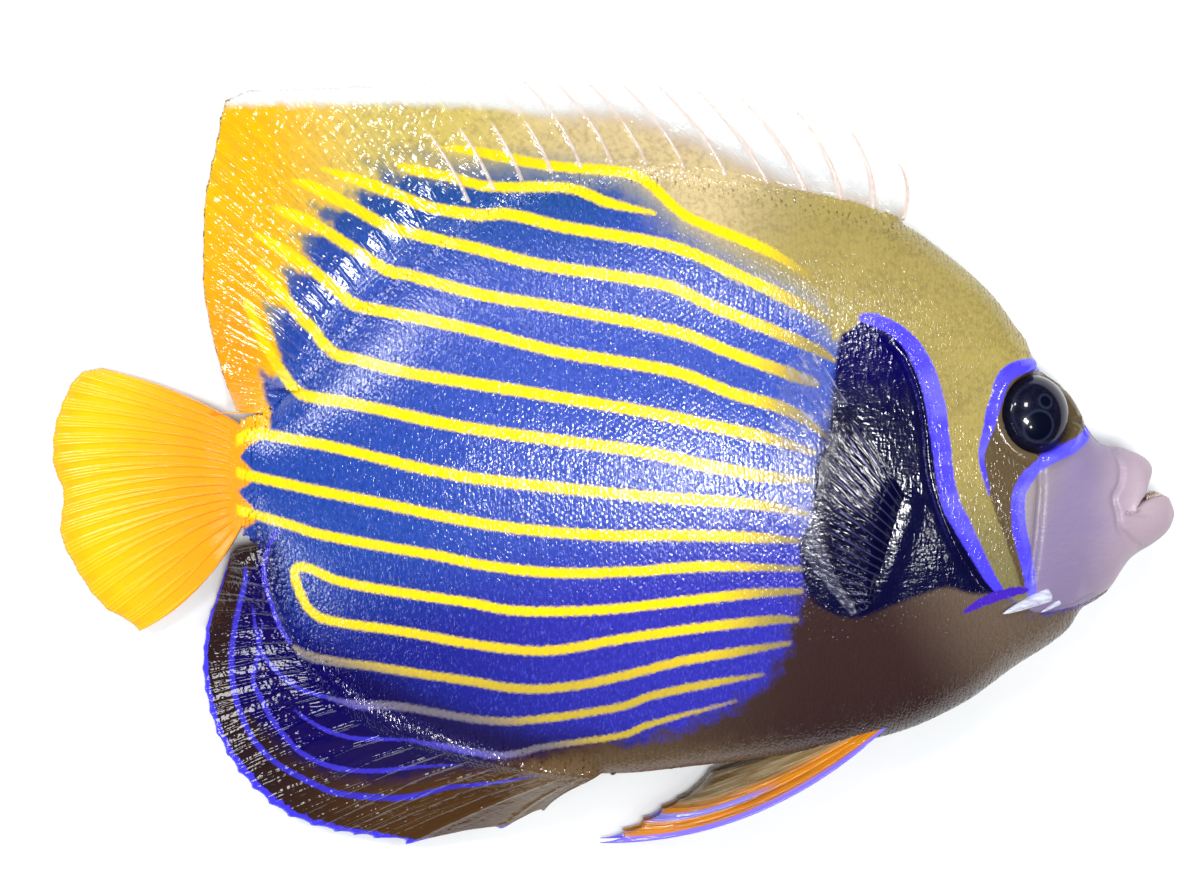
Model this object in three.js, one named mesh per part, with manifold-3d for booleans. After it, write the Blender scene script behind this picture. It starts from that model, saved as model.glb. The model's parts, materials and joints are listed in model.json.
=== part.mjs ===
// Emperor angelfish, adult, life size, lying on its left side on a flat surface.
// Millimetres. +X is the head, +Y the back, +Z the right flank, and z = 0 is the surface it lies on.

import * as THREE from "three";
import { mergeVertices } from "three/addons/utils/BufferGeometryUtils.js";
import Module from "manifold-3d";

const wasm = await Module();
wasm.setup();

// Driving dimensions
const gap = 0.3;
const flankHeight = 12.6;
const tailDrop = 4.2;
const tailDropStart = -20;
const tailDropLength = 40;
const sectionPoints = 32;
const smallestPart = 5;

// The side view: back line, belly line, half width and the height where the body is widest
const backLine = profile([
  [-55, 7.1], [-51.5, 8.3], [-48, 11.8], [-44, 17.5], [-36.5, 25.8], [-26, 34.9], [-16.2, 41.1],
  [-4, 44.5], [6, 45.2], [20, 42.8], [35.3, 39.9], [44.5, 36.8], [52.6, 31.1], [58.2, 25.9], [62, 20.4],
  [65.2, 15], [68.9, 12.2], [71.2, 8.2], [74.5, 3.9], [78, 3.2], [81.2, 1.7], [84.2, -2.2], [85.6, -6.4],
]);
const bellyLine = profile([
  [-55, -9.7], [-52.5, -12], [-50.3, -18.5], [-47.5, -25], [-44, -30.3], [-38.5, -35.8], [-31, -39.8],
  [-20, -43.4], [-8.3, -45.9], [1.1, -46.4], [13.9, -45.2], [34.2, -42.5], [44.6, -40], [54, -35.7],
  [61.7, -30.1], [69.8, -24.4], [71.9, -21.2], [75.5, -18.8], [79.4, -13.4], [82.7, -11.1], [84.6, -9.1],
  [85.6, -6.8],
]);
const halfWidth = profile([
  [-55, 2.2], [-52.5, 3.6], [-48, 5], [-40, 6.9], [-25, 9.6], [-10, 11.5], [5, 12.9], [20, 13.5],
  [38, 13.5], [48, 13], [56, 11.9], [63, 10.4], [70, 8], [76, 5.9], [81, 4.4], [84, 3], [85.6, 0.9],
]);
const widestHeight = profile([
  [-55, -1.3], [-30, -1.5], [0, -2], [40, -3], [60, -4.5], [76, -5.5], [85.6, -6.6],
]);

// How sharp the section is towards the back and the belly: 0.5 is an ellipse, more is a keener edge
const backSharpness = profile([
  [-55, 0.55], [-45, 0.8], [-25, 0.8], [10, 0.7], [40, 0.6], [61, 0.34], [85.6, 0.4],
]);
const bellySharpness = profile([
  [-55, 0.55], [-45, 0.85], [-25, 0.8], [10, 0.66], [40, 0.6], [60, 0.5], [85.6, 0.45],
]);

const stations = [
  -55, -54.2, -53, -51.5, -50, -48.5, -47, -45, -42.5, -40, -37, -33.5, -30, -26, -22, -17, -12, -7, -2, 3,
  8, 13, 18, 23, 28, 33, 37.5, 41, 44, 47, 50, 53, 55.5, 58, 60.2, 62.2, 64.2, 66, 67.7, 69.3, 70.8, 72.2,
  73.8, 75.6, 77.4, 79.1, 80.7, 82.1, 83.3, 84.3, 85, 85.45, 85.6,
];

// Where the eyes sit, and how they face
const eyePlace = [64, 9];
const eyeAxes = [5.6, 5.9, 4];
const eyeFacing = new THREE.Vector3(0.3, 0.18, 0.93).normalize();
const eyeBulge = 1.7;
const orbitRadius = 6.3;
const orbitRim = 0.8;
const nostrilPlace = [70.1, 6.7];
const nostrilRadius = 0.7;

// Lines where the body is parted, in the side view
const tailSeam = [[-46, -40], [-45.4, -12], [-45.4, 8], [-46, 24]];
const gillSeam = [
  [36, 48], [40, 34], [40.6, 24], [42.7, 19], [46, 12.8], [47.2, 6.3], [48.3, -1.4], [50.7, -7.7],
  [53.8, -13.5], [56.8, -18], [56, -24], [52, -34], [50, -46],
];
const upperJawSeam = [[75.6, 8], [76.3, 0], [77.2, -6.45], [79.1, -5.35], [81.2, -3.95], [90, -3.9]];
const lowerJawSeam = [[77.2, -6.45], [77.6, -10], [79.3, -18]];
const mouthNotch = [
  [82, 0.9], [81.4, -0.8], [81, -2.2], [80.6, -3.6], [81.2, -4.3], [85, -4.2], [90, -4.6], [90, 4], [84, 4],
];
const mouthHollow = { place: [81.8, -3.9], size: [4.2, 1.5, 2.7] };
const lipInset = 0.35;
const lipRadius = 0.85;

// The gill cover: its hinge side along the cheek groove and its free edge behind
const gillHinge = curve([
  [50, 17.2], [53.6, 11], [55.5, 5], [55.9, 0], [57.5, -6.2], [60.1, -13], [61.2, -16.4],
]);
const gillFreeEdge = curve([
  [43.4, 18.6], [46.6, 12.4], [47.9, 5.6], [49.1, -2.2], [51.5, -8.2], [54.6, -13.9], [57.8, -18],
]);
const gillEnd = 6;
const gillRaise = 0.55;
const gillDepth = 1.1;

// How the bed of a gill cover is wider and longer than the cover, and how far it is open above
const bedSpread = 0.25;
const bedLength = 0.12;
const bedOpening = 4;

// Teeth, as close-set cones
const toothRadius = 0.3;
const toothLength = 1.3;
const toothSides = 5;

// Cutters go right through the fish, from under it to above it
const cutterFoot = -15;
const cutterHeight = 60;

// The cheek spine, from its root under the cheek to its point
const cheekSpineRoot = [65.6, -18.1];
const cheekSpinePoint = [58.6, -20.8];
const cheekSpineRadius = 1.15;

// Fins: curves along the root, the middle and the outer edge, from the first ray to the last
const dorsal = {
  rays: 34,
  spines: 14,
  root: curve([
    [44.3, 37.1], [35.3, 39.9], [24.5, 42], [12, 44.3], [1.2, 45], [-7.7, 43.6], [-16.2, 41], [-26.2, 34.7],
    [-36.5, 25.8], [-42.4, 19.3], [-48, 11.9], [-51.4, 8.4],
  ], [0, 2, 4, 6, 8, 10, 12, 15, 20, 24, 30, 33]),
  edge: curve([
    [44.3, 46], [37.1, 50.7], [28.9, 53.7], [20.6, 55.6], [8.2, 57.4], [-7.2, 57.9], [-17, 58.4],
    [-27.5, 57.9], [-42.8, 57.5], [-54, 57.3], [-58.1, 55.6], [-59.6, 49.7], [-61.7, 38.7],
    [-61.9, 28.6], [-60.9, 21.4], [-58.9, 14.1], [-55.9, 8.6],
  ], [0, 1, 2, 3, 5, 8, 10, 12, 15, 17, 18, 20, 23, 26, 28, 30, 33]),
  bow: 1.2,
  height: profile([[0, 9.5], [11, 7], [17, 2.6], [22, 1.2], [29, 1.4], [31, 4], [33, 7.6]]),
  thickness: [1.9, 0.6],
  ridge: [0.45, 0.16],
  notch: profile([[0, 0.62], [1, 0.5], [3, 0.3], [6, 0.12], [10, 0.06], [14, 0.02], [33, 0.02]]),
};
const anal = {
  rays: 23,
  spines: 3,
  root: curve([
    [-1.6, -46.9], [-8.3, -46.2], [-16, -44.8], [-23.6, -42.6], [-31.2, -39.9], [-38.8, -35.8],
    [-44.2, -30.3], [-48, -24.2], [-50.7, -17.9], [-52.6, -12.2],
  ], [0, 3, 5, 7, 9, 11, 14, 17, 20, 22]),
  edge: curve([
    [-9.3, -53.4], [-15.9, -56.8], [-31, -59.7], [-36, -58.8], [-42.2, -57.8], [-49.4, -55.4], [-55, -50.9],
    [-59, -45.5], [-61.6, -38.8], [-62.6, -32], [-62, -25.7], [-60, -20.2], [-58.6, -16.9], [-57, -13.2],
  ], [0, 1, 2, 3, 5, 7, 9, 11, 13, 15, 17, 19, 20, 22]),
  bow: -1,
  height: profile([[0, 6], [2, 1.6], [4, 1.2], [18, 1.4], [20, 4.4], [22, 7.6]]),
  thickness: [1.7, 0.6],
  ridge: [0.35, 0.16],
  notch: profile([[0, 0.2], [2, 0.1], [3, 0.03], [22, 0.02]]),
};
const caudal = {
  rays: 17,
  spines: 0,
  root: curve([[-55.3, 6.4], [-55.3, -1.7], [-55.3, -9.2]], [0, 8, 16]),
  middle: curve([[-65.8, 11.3], [-68.8, 5.4], [-69.8, -2], [-68.4, -10], [-62.9, -19.4]], [0, 4, 8, 12, 16]),
  edge: curve([
    [-77.7, 14.7], [-80.6, 14.1], [-83.9, 9.3], [-85.4, 3.6], [-85.5, 0.5], [-83.9, -5], [-84.5, -10.4],
    [-81.8, -17], [-77.3, -22.8], [-74.2, -24.4], [-72.2, -26.1],
  ], [0, 1, 3, 5, 6, 8, 10, 12, 14, 15, 16]),
  height: profile([[0, 1.8], [3, 1.2], [13, 1.2], [16, 1.8]]),
  thickness: [3, 0.6],
  ridge: [0.3, 0.16],
  notch: profile([[0, 0.02], [16, 0.02]]),
};
const pectoral = {
  rays: 17,
  spines: 0,
  root: curve([[44.6, -4.2], [43.6, -8], [42.2, -12.2], [40.6, -16], [39, -19]], [0, 4, 8, 12, 16]),
  edge: curve([
    [30.4, 18.4], [28.6, 18.6], [25, 13.3], [24.1, 5.2], [25.4, -3.5], [28.5, -10.9], [32.6, -16.6],
    [36, -20.6],
  ], [0, 1, 3, 6, 9, 12, 14, 16]),
  thickness: [1.2, 0.5],
  ridge: [0.2, 0.1],
  notch: profile([[0, 0.02], [16, 0.02]]),
};
const pelvic = {
  rays: 7,
  spines: 1,
  root: curve([[41.6, -39.6], [38.5, -39.9], [35, -40.2]], [0, 3, 6]),
  middle: curve([[21.8, -53.6], [20.4, -50.4], [21.2, -45.6]], [0, 3, 6]),
  edge: curve([[-0.9, -58.9], [2.7, -57.4], [8.9, -53.7], [13.9, -50.7], [16.5, -47.8]], [0, 1, 3, 5, 6]),
  thickness: [1.5, 0.6],
  ridge: [0.35, 0.16],
  notch: profile([[0, 0.04], [6, 0.04]]),
};
const finRows = [0, 0.3, 0.65, 1];
const bedStep = 2;
const rayHalfWidth = 0.24;

// Colours
const finish = {
  head: material(0x8f8148, 0.45),
  trunk: material(0x2b3c9c, 0.4),
  peduncle: material(0x24408c, 0.4),
  jaw: material(0xb48fa2, 0.5),
  gillCover: material(0x8a7f45, 0.4),
  boneWhite: material(0xdfe4ea, 0.35),
  eye: material(0x0b0b12, 0.1),
  dorsal: material(0xe0a41c, 0.4),
  anal: material(0x1c1c4a, 0.4),
  caudal: material(0xffb21e, 0.4),
  pectoral: material(0x14142e, 0.35),
  pelvic: material(0xb8681c, 0.4),
};

function material(color, roughness) {
  return new THREE.MeshStandardMaterial({ color, roughness, metalness: 0 });
}

// A smooth function through [place, value] points that never swings past them
function profile(points) {
  const rise = points.slice(1).map((p, i) => (p[1] - points[i][1]) / (p[0] - points[i][0]));
  const slope = points.map((p, i) => {
    if (i === 0) return rise[0];
    if (i === points.length - 1) return rise[i - 1];
    return rise[i - 1] * rise[i] <= 0 ? 0 : (2 * rise[i - 1] * rise[i]) / (rise[i - 1] + rise[i]);
  });
  return (x) => {
    const last = points.length - 2;
    const found = points.findIndex((p, i) => i > 0 && x < p[0]);
    const k = Math.min(found < 0 ? last : found - 1, last);
    const width = points[k + 1][0] - points[k][0];
    const t = Math.min(Math.max((x - points[k][0]) / width, 0), 1);
    const a = (1 + 2 * t) * (1 - t) ** 2 * points[k][1] + t * t * (3 - 2 * t) * points[k + 1][1];
    return a + width * (t * (1 - t) ** 2 * slope[k] - t * t * (1 - t) * slope[k + 1]);
  };
}

// A smooth plane curve through points, each reached at its own count along the curve
function curve(points, counts = points.map((p, i) => i)) {
  const across = profile(points.map((p, i) => [counts[i], p[0]]));
  const up = profile(points.map((p, i) => [counts[i], p[1]]));
  return (count) => [across(count), up(count)];
}

function smooth(t) {
  const s = Math.min(Math.max(t, 0), 1);
  return s * s * (3 - 2 * s);
}

// Height of the middle plane, which sinks towards the tail
function middleHeight(x) {
  return flankHeight - tailDrop * smooth((tailDropStart - x) / tailDropLength);
}

// Half the thickness of the flesh at a point of the side view
function halfThickness(x, y) {
  const wide = widestHeight(x);
  const above = y > wide;
  const reach = above ? backLine(x) - wide : wide - bellyLine(x);
  const part = Math.min(Math.abs(y - wide) / reach, 1);
  return halfWidth(x) * (1 - part * part) ** (above ? backSharpness(x) : bellySharpness(x));
}

// Height of the right (+1) or left (-1) flank
function flank(x, y, side) {
  return middleHeight(x) + side * halfThickness(x, y);
}

function closedGeometry(positions, triangles) {
  const geometry = new THREE.BufferGeometry();
  geometry.setAttribute("position", new THREE.Float32BufferAttribute(positions, 3));
  geometry.setIndex(triangles);
  return geometry;
}

// The whole body as rings from the tail to the mouth, grown outwards by a clearance
function bodyGeometry(grow, floor) {
  const positions = [];
  const triangles = [];
  for (const x of stations) {
    const wide = widestHeight(x);
    for (let j = 0; j < sectionPoints; j++) {
      const turn = (2 * Math.PI * j) / sectionPoints;
      const up = Math.sin(turn);
      const out = Math.cos(turn);
      const reach = up > 0 ? backLine(x) - wide : wide - bellyLine(x);
      const sharp = up > 0 ? backSharpness(x) : bellySharpness(x);
      const half = halfWidth(x) * Math.sign(out) * Math.abs(out) ** (2 * sharp);
      positions.push(x, wide + reach * up, middleHeight(x) + half);
    }
  }
  const rings = stations.length;
  const tailEnd = positions.length / 3;
  positions.push(stations[0], widestHeight(stations[0]), middleHeight(stations[0]));
  const noseEnd = tailEnd + 1;
  const nose = stations[rings - 1];
  positions.push(nose, widestHeight(nose), middleHeight(nose));
  for (let i = 0; i < rings - 1; i++) {
    for (let j = 0; j < sectionPoints; j++) {
      const a = i * sectionPoints + j;
      const b = i * sectionPoints + ((j + 1) % sectionPoints);
      triangles.push(a, a + sectionPoints, b, b, a + sectionPoints, b + sectionPoints);
    }
  }
  for (let j = 0; j < sectionPoints; j++) {
    const next = (j + 1) % sectionPoints;
    const front = (rings - 1) * sectionPoints;
    triangles.push(tailEnd, j, next, noseEnd, front + next, front + j);
  }
  const geometry = closedGeometry(positions, triangles);
  if (grow > 0) {
    geometry.computeVertexNormals();
    const place = geometry.attributes.position;
    const normal = geometry.attributes.normal;
    for (let i = 0; i < place.count; i++) {
      place.setXYZ(
        i,
        place.getX(i) + grow * normal.getX(i),
        place.getY(i) + grow * normal.getY(i),
        place.getZ(i) + grow * normal.getZ(i),
      );
    }
  }
  if (floor) {
    const place = geometry.attributes.position;
    for (let i = 0; i < place.count; i++) place.setZ(i, Math.max(place.getZ(i), 0));
  }
  return geometry;
}

// A closed sheet on a grid, where surface(i, j) gives x, y, the top and the bottom
function sheetGeometry(columns, rows, surface) {
  const positions = [];
  const triangles = [];
  for (const face of [2, 3]) {
    for (let i = 0; i < columns; i++) {
      for (let j = 0; j < rows; j++) {
        const point = surface(i, j);
        positions.push(point[0], point[1], point[face]);
      }
    }
  }
  const under = columns * rows;
  const quad = (a, b, c, d) => triangles.push(a, b, c, a, c, d);
  for (let i = 0; i < columns - 1; i++) {
    for (let j = 0; j < rows - 1; j++) {
      const a = i * rows + j;
      quad(a, a + rows, a + rows + 1, a + 1);
      triangles.push(under + a, under + a + rows + 1, under + a + rows);
      triangles.push(under + a, under + a + 1, under + a + rows + 1);
    }
  }
  for (let i = 0; i < columns - 1; i++) {
    const a = i * rows;
    quad(a, under + a, under + a + rows, a + rows);
    const b = a + rows - 1;
    quad(b, b + rows, under + b + rows, under + b);
  }
  for (let j = 0; j < rows - 1; j++) {
    quad(j, j + 1, under + j + 1, under + j);
    const b = (columns - 1) * rows + j;
    quad(b, under + b, under + b + 1, b + 1);
  }
  const geometry = closedGeometry(positions, triangles);
  return signedVolume(geometry) < 0 ? turnedInsideOut(geometry) : geometry;
}

function signedVolume(geometry) {
  const place = geometry.attributes.position;
  const corner = (i) => new THREE.Vector3().fromBufferAttribute(place, geometry.index.getX(i));
  let sum = 0;
  for (let i = 0; i < geometry.index.count; i += 3) {
    sum += corner(i).dot(corner(i + 1).cross(corner(i + 2))) / 6;
  }
  return sum;
}

function turnedInsideOut(geometry) {
  const order = Array.from(geometry.index.array);
  for (let i = 0; i < order.length; i += 3) [order[i], order[i + 1]] = [order[i + 1], order[i]];
  geometry.setIndex(order);
  return geometry;
}

function halfMembrane(fin, out) {
  return (fin.thickness[0] + (fin.thickness[1] - fin.thickness[0]) * Math.sqrt(out)) / 2;
}

function rayRidge(fin, out) {
  return fin.ridge[0] + (fin.ridge[1] - fin.ridge[0]) * out;
}

// A fin between its root and its edge: rays stand up as ridges, and the membrane is cut in between them
function finGeometry(fin, heightAt, plain = false) {
  const columns = [];
  for (let k = 0; k < fin.rays; k += plain ? bedStep : 1) {
    for (const offset of plain ? [0] : [-rayHalfWidth, 0, rayHalfWidth]) {
      const outside = (k === 0 && offset < 0) || (k === fin.rays - 1 && offset > 0);
      if (!outside) columns.push({ count: k + offset, crest: offset === 0 && !plain });
    }
  }
  return sheetGeometry(columns.length, finRows.length, (i, j) => {
    const { count, crest } = columns[i];
    const out = finRows[j] * (crest || plain ? 1 : 1 - fin.notch(count));
    const root = fin.root(count);
    const edge = fin.edge(count);
    const middle = fin.middle ? fin.middle(count) : [(root[0] + edge[0]) / 2, (root[1] + edge[1]) / 2];
    const swell = fin.bow ? fin.bow * 4 * out * (1 - out) : 0;
    const pull = [(1 - out) * (1 - 2 * out), 4 * out * (1 - out), out * (2 * out - 1)];
    const place = [0, 1].map((axis) => pull[0] * root[axis] + pull[1] * middle[axis] + pull[2] * edge[axis]);
    place[0] += swell;
    const half = halfMembrane(fin, out) + (crest ? rayRidge(fin, out) : 0);
    const middleZ = heightAt(place[0], place[1], out, count);
    return [place[0], place[1], middleZ + half, middleZ - half];
  });
}

function solid(geometry) {
  const bare = geometry.index ? geometry.clone() : geometry;
  bare.deleteAttribute("normal");
  bare.deleteAttribute("uv");
  const merged = mergeVertices(bare, 1e-4);
  const order = [];
  for (let i = 0; i < merged.index.count; i += 3) {
    const [a, b, c] = [0, 1, 2].map((k) => merged.index.getX(i + k));
    if (a !== b && b !== c && c !== a) order.push(a, b, c);
  }
  const vertProperties = Float32Array.from(merged.attributes.position.array);
  return new wasm.Manifold(new wasm.Mesh({ numProp: 3, vertProperties, triVerts: Uint32Array.from(order) }));
}

function geometryOf(shape) {
  const mesh = shape.getMesh();
  return closedGeometry(Array.from(mesh.vertProperties), Array.from(mesh.triVerts));
}

function largest(shape) {
  return shape.decompose().reduce((best, piece) => (piece.volume() > best.volume() ? piece : best));
}

// A straight-sided cutter that goes right through the fish
function prism(points) {
  const shape = new THREE.Shape(points.map((p) => new THREE.Vector2(p[0], p[1])));
  const geometry = new THREE.ExtrudeGeometry(shape, { depth: cutterHeight, bevelEnabled: false });
  geometry.translate(0, 0, cutterFoot);
  return solid(geometry);
}

// A thin cut along a line of the side view
function seam(points) {
  const sides = [[], []];
  points.forEach((p, i) => {
    const before = points[Math.max(i - 1, 0)];
    const after = points[Math.min(i + 1, points.length - 1)];
    const run = [after[0] - before[0], after[1] - before[1]];
    const scale = gap / 2 / Math.hypot(...run);
    const shift = [-run[1] * scale, run[0] * scale];
    sides[0].push([p[0] + shift[0], p[1] + shift[1]]);
    sides[1].unshift([p[0] - shift[0], p[1] - shift[1]]);
  });
  return prism([...sides[0], ...sides[1]]);
}

function ellipsoid(size, place, turn = new THREE.Quaternion(), detail = [16, 10]) {
  const geometry = new THREE.SphereGeometry(1, detail[0], detail[1]);
  geometry.scale(...size);
  geometry.applyQuaternion(turn);
  geometry.translate(...place);
  return geometry;
}

// An eyeball of one side, grown by a clearance for its socket
function eyeball(side, grow) {
  const [x, y] = eyePlace;
  const facing = new THREE.Vector3(eyeFacing.x, eyeFacing.y, side * eyeFacing.z);
  const depth = eyeAxes[2] - eyeBulge;
  const place = new THREE.Vector3(x, y, flank(x, y, side)).addScaledVector(facing, -depth);
  const turn = new THREE.Quaternion().setFromUnitVectors(new THREE.Vector3(0, 0, side), facing);
  return ellipsoid(eyeAxes.map((a) => a + grow), place.toArray(), turn);
}

// The raised ring of skin around an eye
function orbit(side) {
  const [x, y] = eyePlace;
  const facing = new THREE.Vector3(eyeFacing.x, eyeFacing.y, side * eyeFacing.z);
  const geometry = new THREE.TorusGeometry(orbitRadius, orbitRim, 5, 20);
  geometry.applyQuaternion(new THREE.Quaternion().setFromUnitVectors(new THREE.Vector3(0, 0, 1), facing));
  geometry.translate(x, y, flank(x, y, side) - side * 0.3);
  return solid(geometry);
}

// A gill cover of one side, raised over the flank, or its bed when it is grown
function gillCover(side, grow) {
  const columns = 9;
  const rows = 5;
  const lowest = grow > 0 ? cutterFoot : 0;
  return sheetGeometry(columns, rows, (i, j) => {
    const along = (gillEnd + 2 * grow) * (i / (columns - 1)) - grow;
    const count = Math.min(Math.max(along, 0), gillEnd);
    const hinge = gillHinge(count);
    const free = gillFreeEdge(count);
    const part = j / (rows - 1);
    const spread = part + (part - 0.5) * grow * bedSpread;
    const x = hinge[0] + (free[0] - hinge[0]) * spread;
    const y = hinge[1] + (free[1] - hinge[1]) * spread + (gillEnd / 2 - along) * grow * bedLength;
    const crown = gillRaise * (0.35 + 0.65 * part);
    const outer = flank(x, y, side) + side * (grow > 0 ? bedOpening : crown);
    const inner = flank(x, y, side) - side * (gillDepth + grow);
    return [x, y, Math.max(outer, lowest), inner];
  });
}

function cheekSpine(side) {
  const root = new THREE.Vector3(...cheekSpineRoot, flank(...cheekSpineRoot, side) - side * 0.6);
  const point = new THREE.Vector3(...cheekSpinePoint, flank(...cheekSpinePoint, side) + side * 1.3);
  const length = root.distanceTo(point);
  const geometry = new THREE.CylinderGeometry(0.35, cheekSpineRadius, length, 8, 3);
  const direction = point.clone().sub(root).normalize();
  geometry.applyQuaternion(new THREE.Quaternion().setFromUnitVectors(new THREE.Vector3(0, 1, 0), direction));
  geometry.translate(...root.add(point).multiplyScalar(0.5).toArray());
  return solid(geometry);
}

// A lip that runs round a jaw from one mouth corner to the other
function lip(line, front, radius) {
  const points = [];
  for (const side of [-1, 1]) {
    const half = line.map(([x, y]) => new THREE.Vector3(x, y, flank(x, y, side) - side * lipInset));
    points.push(...(side < 0 ? half : half.reverse()));
    if (side < 0) points.push(new THREE.Vector3(...front, middleHeight(front[0])));
  }
  const round = new THREE.Shape();
  round.absarc(0, 0, radius, 0, 2 * Math.PI, false);
  const path = new THREE.CatmullRomCurve3(points);
  const geometry = new THREE.ExtrudeGeometry(round, { steps: 12, curveSegments: 3, extrudePath: path });
  return { path, shape: solid(geometry) };
}

// Small close-set teeth along a lip, standing up (+1) or hanging down (-1)
function teeth(path, count, up, setBack) {
  const found = [];
  for (let k = 0; k < count; k++) {
    const along = 0.3 + (0.4 * k) / (count - 1);
    const place = path.getPoint(along);
    const geometry = new THREE.ConeGeometry(toothRadius, toothLength, toothSides);
    if (up < 0) geometry.rotateX(Math.PI);
    const inward = middleHeight(place.x) - place.z;
    geometry.translate(place.x - setBack, place.y + up * 0.95, place.z + inward * 0.12);
    found.push(solid(geometry));
  }
  return found;
}

const group = new THREE.Group();
function add(name, shape, look) {
  const geometry = geometryOf(shape);
  const mesh = new THREE.Mesh(geometry, look);
  mesh.name = name;
  group.add(mesh);
}

// The body, parted by thin cuts
const cleared = solid(bodyGeometry(gap, false));
let whole = solid(bodyGeometry(0, true));
const upperLip = lip([[77.9, -5.2], [79.6, -2.9], [81, -1.3]], [81.6, -0.6], lipRadius);
const lowerLip = lip([[78, -7.4], [80.6, -5.9], [83.4, -5.2]], [85, -5.2], lipRadius);
whole = whole.add(upperLip.shape).add(lowerLip.shape).add(orbit(1)).add(orbit(-1));
for (const cut of [tailSeam, gillSeam, upperJawSeam, lowerJawSeam]) whole = whole.subtract(seam(cut));
whole = whole.subtract(prism(mouthNotch));
whole = whole.subtract(solid(ellipsoid(mouthHollow.size, [...mouthHollow.place, flankHeight])));
for (const side of [1, -1]) {
  whole = whole.subtract(solid(eyeball(side, gap))).subtract(solid(gillCover(side, gap)));
  const [x, y] = nostrilPlace;
  const pit = ellipsoid([nostrilRadius, nostrilRadius, 1], [x, y, flank(x, y, side)], undefined, [8, 6]);
  whole = whole.subtract(solid(pit));
}
const surroundings = prism([[-100, -100], [100, -100], [100, 100], [-100, 100]]);
whole = whole.intersect(surroundings.translate([0, 0, -cutterFoot]));

// The pectoral fins lie along the flanks, the left one in a bed between the fish and the surface
const pectoralLift = 0.95;
const floorClearance = 0.12;
const rootSink = 1.7;
const rootLength = 0.2;
const bedGrowth = 2 * (gap + 0.1);
const bedThickness = pectoral.thickness.map((t, i) => t + 2 * pectoral.ridge[i] + bedGrowth);
const bedShape = { ...pectoral, thickness: bedThickness };
function pectoralHeight(side) {
  return (x, y, out) => {
    const sunk = rootSink * smooth(1 - out / rootLength);
    const height = flank(x, y, side) + side * (pectoralLift - sunk);
    const lowest = floorClearance + halfMembrane(pectoral, out) + rayRidge(pectoral, out);
    return side > 0 ? height : Math.max(height, lowest);
  };
}

const centreX = (piece) => (piece.boundingBox().min[0] + piece.boundingBox().max[0]) / 2;
const parts = whole.decompose().filter((piece) => piece.volume() > smallestPart);
parts.sort((a, b) => centreX(a) - centreX(b));
let [peduncle, trunk, head, upperJaw, lowerJaw] = parts;
for (const tooth of teeth(upperLip.path, 9, -1, 0.9)) upperJaw = upperJaw.add(tooth);
for (const tooth of teeth(lowerLip.path, 13, 1, 0.7)) lowerJaw = lowerJaw.add(tooth);

// A fin fitted to the body: its root stops a clearance short of the flesh
function fitted(fin, heightAt) {
  return largest(solid(finGeometry(fin, heightAt)).subtract(cleared));
}

function medianHeight(fin) {
  return (x, y, out, count) => {
    const root = middleHeight(fin.root(count)[0]);
    return root + (fin.height(count) - root) * out;
  };
}

// The two pelvic fins spread from the belly, the right one above the left
const pelvicSpread = 2.4;
const pelvicTip = { right: 4.6, left: 1.4 };
function pelvicHeight(side) {
  return (x, y, out) => {
    const root = flankHeight + side * pelvicSpread;
    const tip = side > 0 ? pelvicTip.right : pelvicTip.left;
    return root + (tip - root) * out;
  };
}

const bed = solid(finGeometry(bedShape, pectoralHeight(-1), true));
const spread = 2 * gap;
for (let turn = 0; turn < 2 * Math.PI; turn += Math.PI / 4) {
  trunk = trunk.subtract(bed.translate([spread * Math.cos(turn), spread * Math.sin(turn), 0]));
}
trunk = trunk.subtract(bed.translate([0, 0, -1]));

add("head", largest(head), finish.head);
add("trunk", largest(trunk), finish.trunk);
add("peduncle", largest(peduncle), finish.peduncle);
add("upper_jaw", largest(upperJaw), finish.jaw);
add("lower_jaw", largest(lowerJaw), finish.jaw);
for (const [name, side] of [["right", 1], ["left", -1]]) {
  const cover = solid(gillCover(side, 0));
  add(`gill_cover_${name}`, cover, finish.gillCover);
  const coverBed = solid(gillCover(side, gap));
  const freeSpine = cheekSpine(side).subtract(cleared).subtract(coverBed);
  add(`cheek_spine_${name}`, largest(freeSpine), finish.boneWhite);
  add(`eye_${name}`, solid(eyeball(side, 0)), finish.eye);
  const onFlank = pectoralHeight(side);
  const pectoralFin = side > 0 ? fitted(pectoral, onFlank) : solid(finGeometry(pectoral, onFlank));
  add(`pectoral_fin_${name}`, pectoralFin, finish.pectoral);
  add(`pelvic_fin_${name}`, fitted(pelvic, pelvicHeight(side)), finish.pelvic);
}
add("dorsal_fin", fitted(dorsal, medianHeight(dorsal)), finish.dorsal);
add("anal_fin", fitted(anal, medianHeight(anal)), finish.anal);
add("caudal_fin", fitted(caudal, medianHeight(caudal)), finish.caudal);

export default group;
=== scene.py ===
# %% [markdown]
# # An emperor angelfish, life size, lying on its left side
#
# The fish lies flat, so its right flank faces up and all of its colours show.
# +X is the head, +Y the back and +Z the right flank. The solids of the model come packed as a fixed
# frame. This script dresses them: one skin, thousands of small scales, fins with real rays, wet eyes.
# Shapes are worked out in millimetres, as on the real fish, and become metres when a mesh is made.

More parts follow.
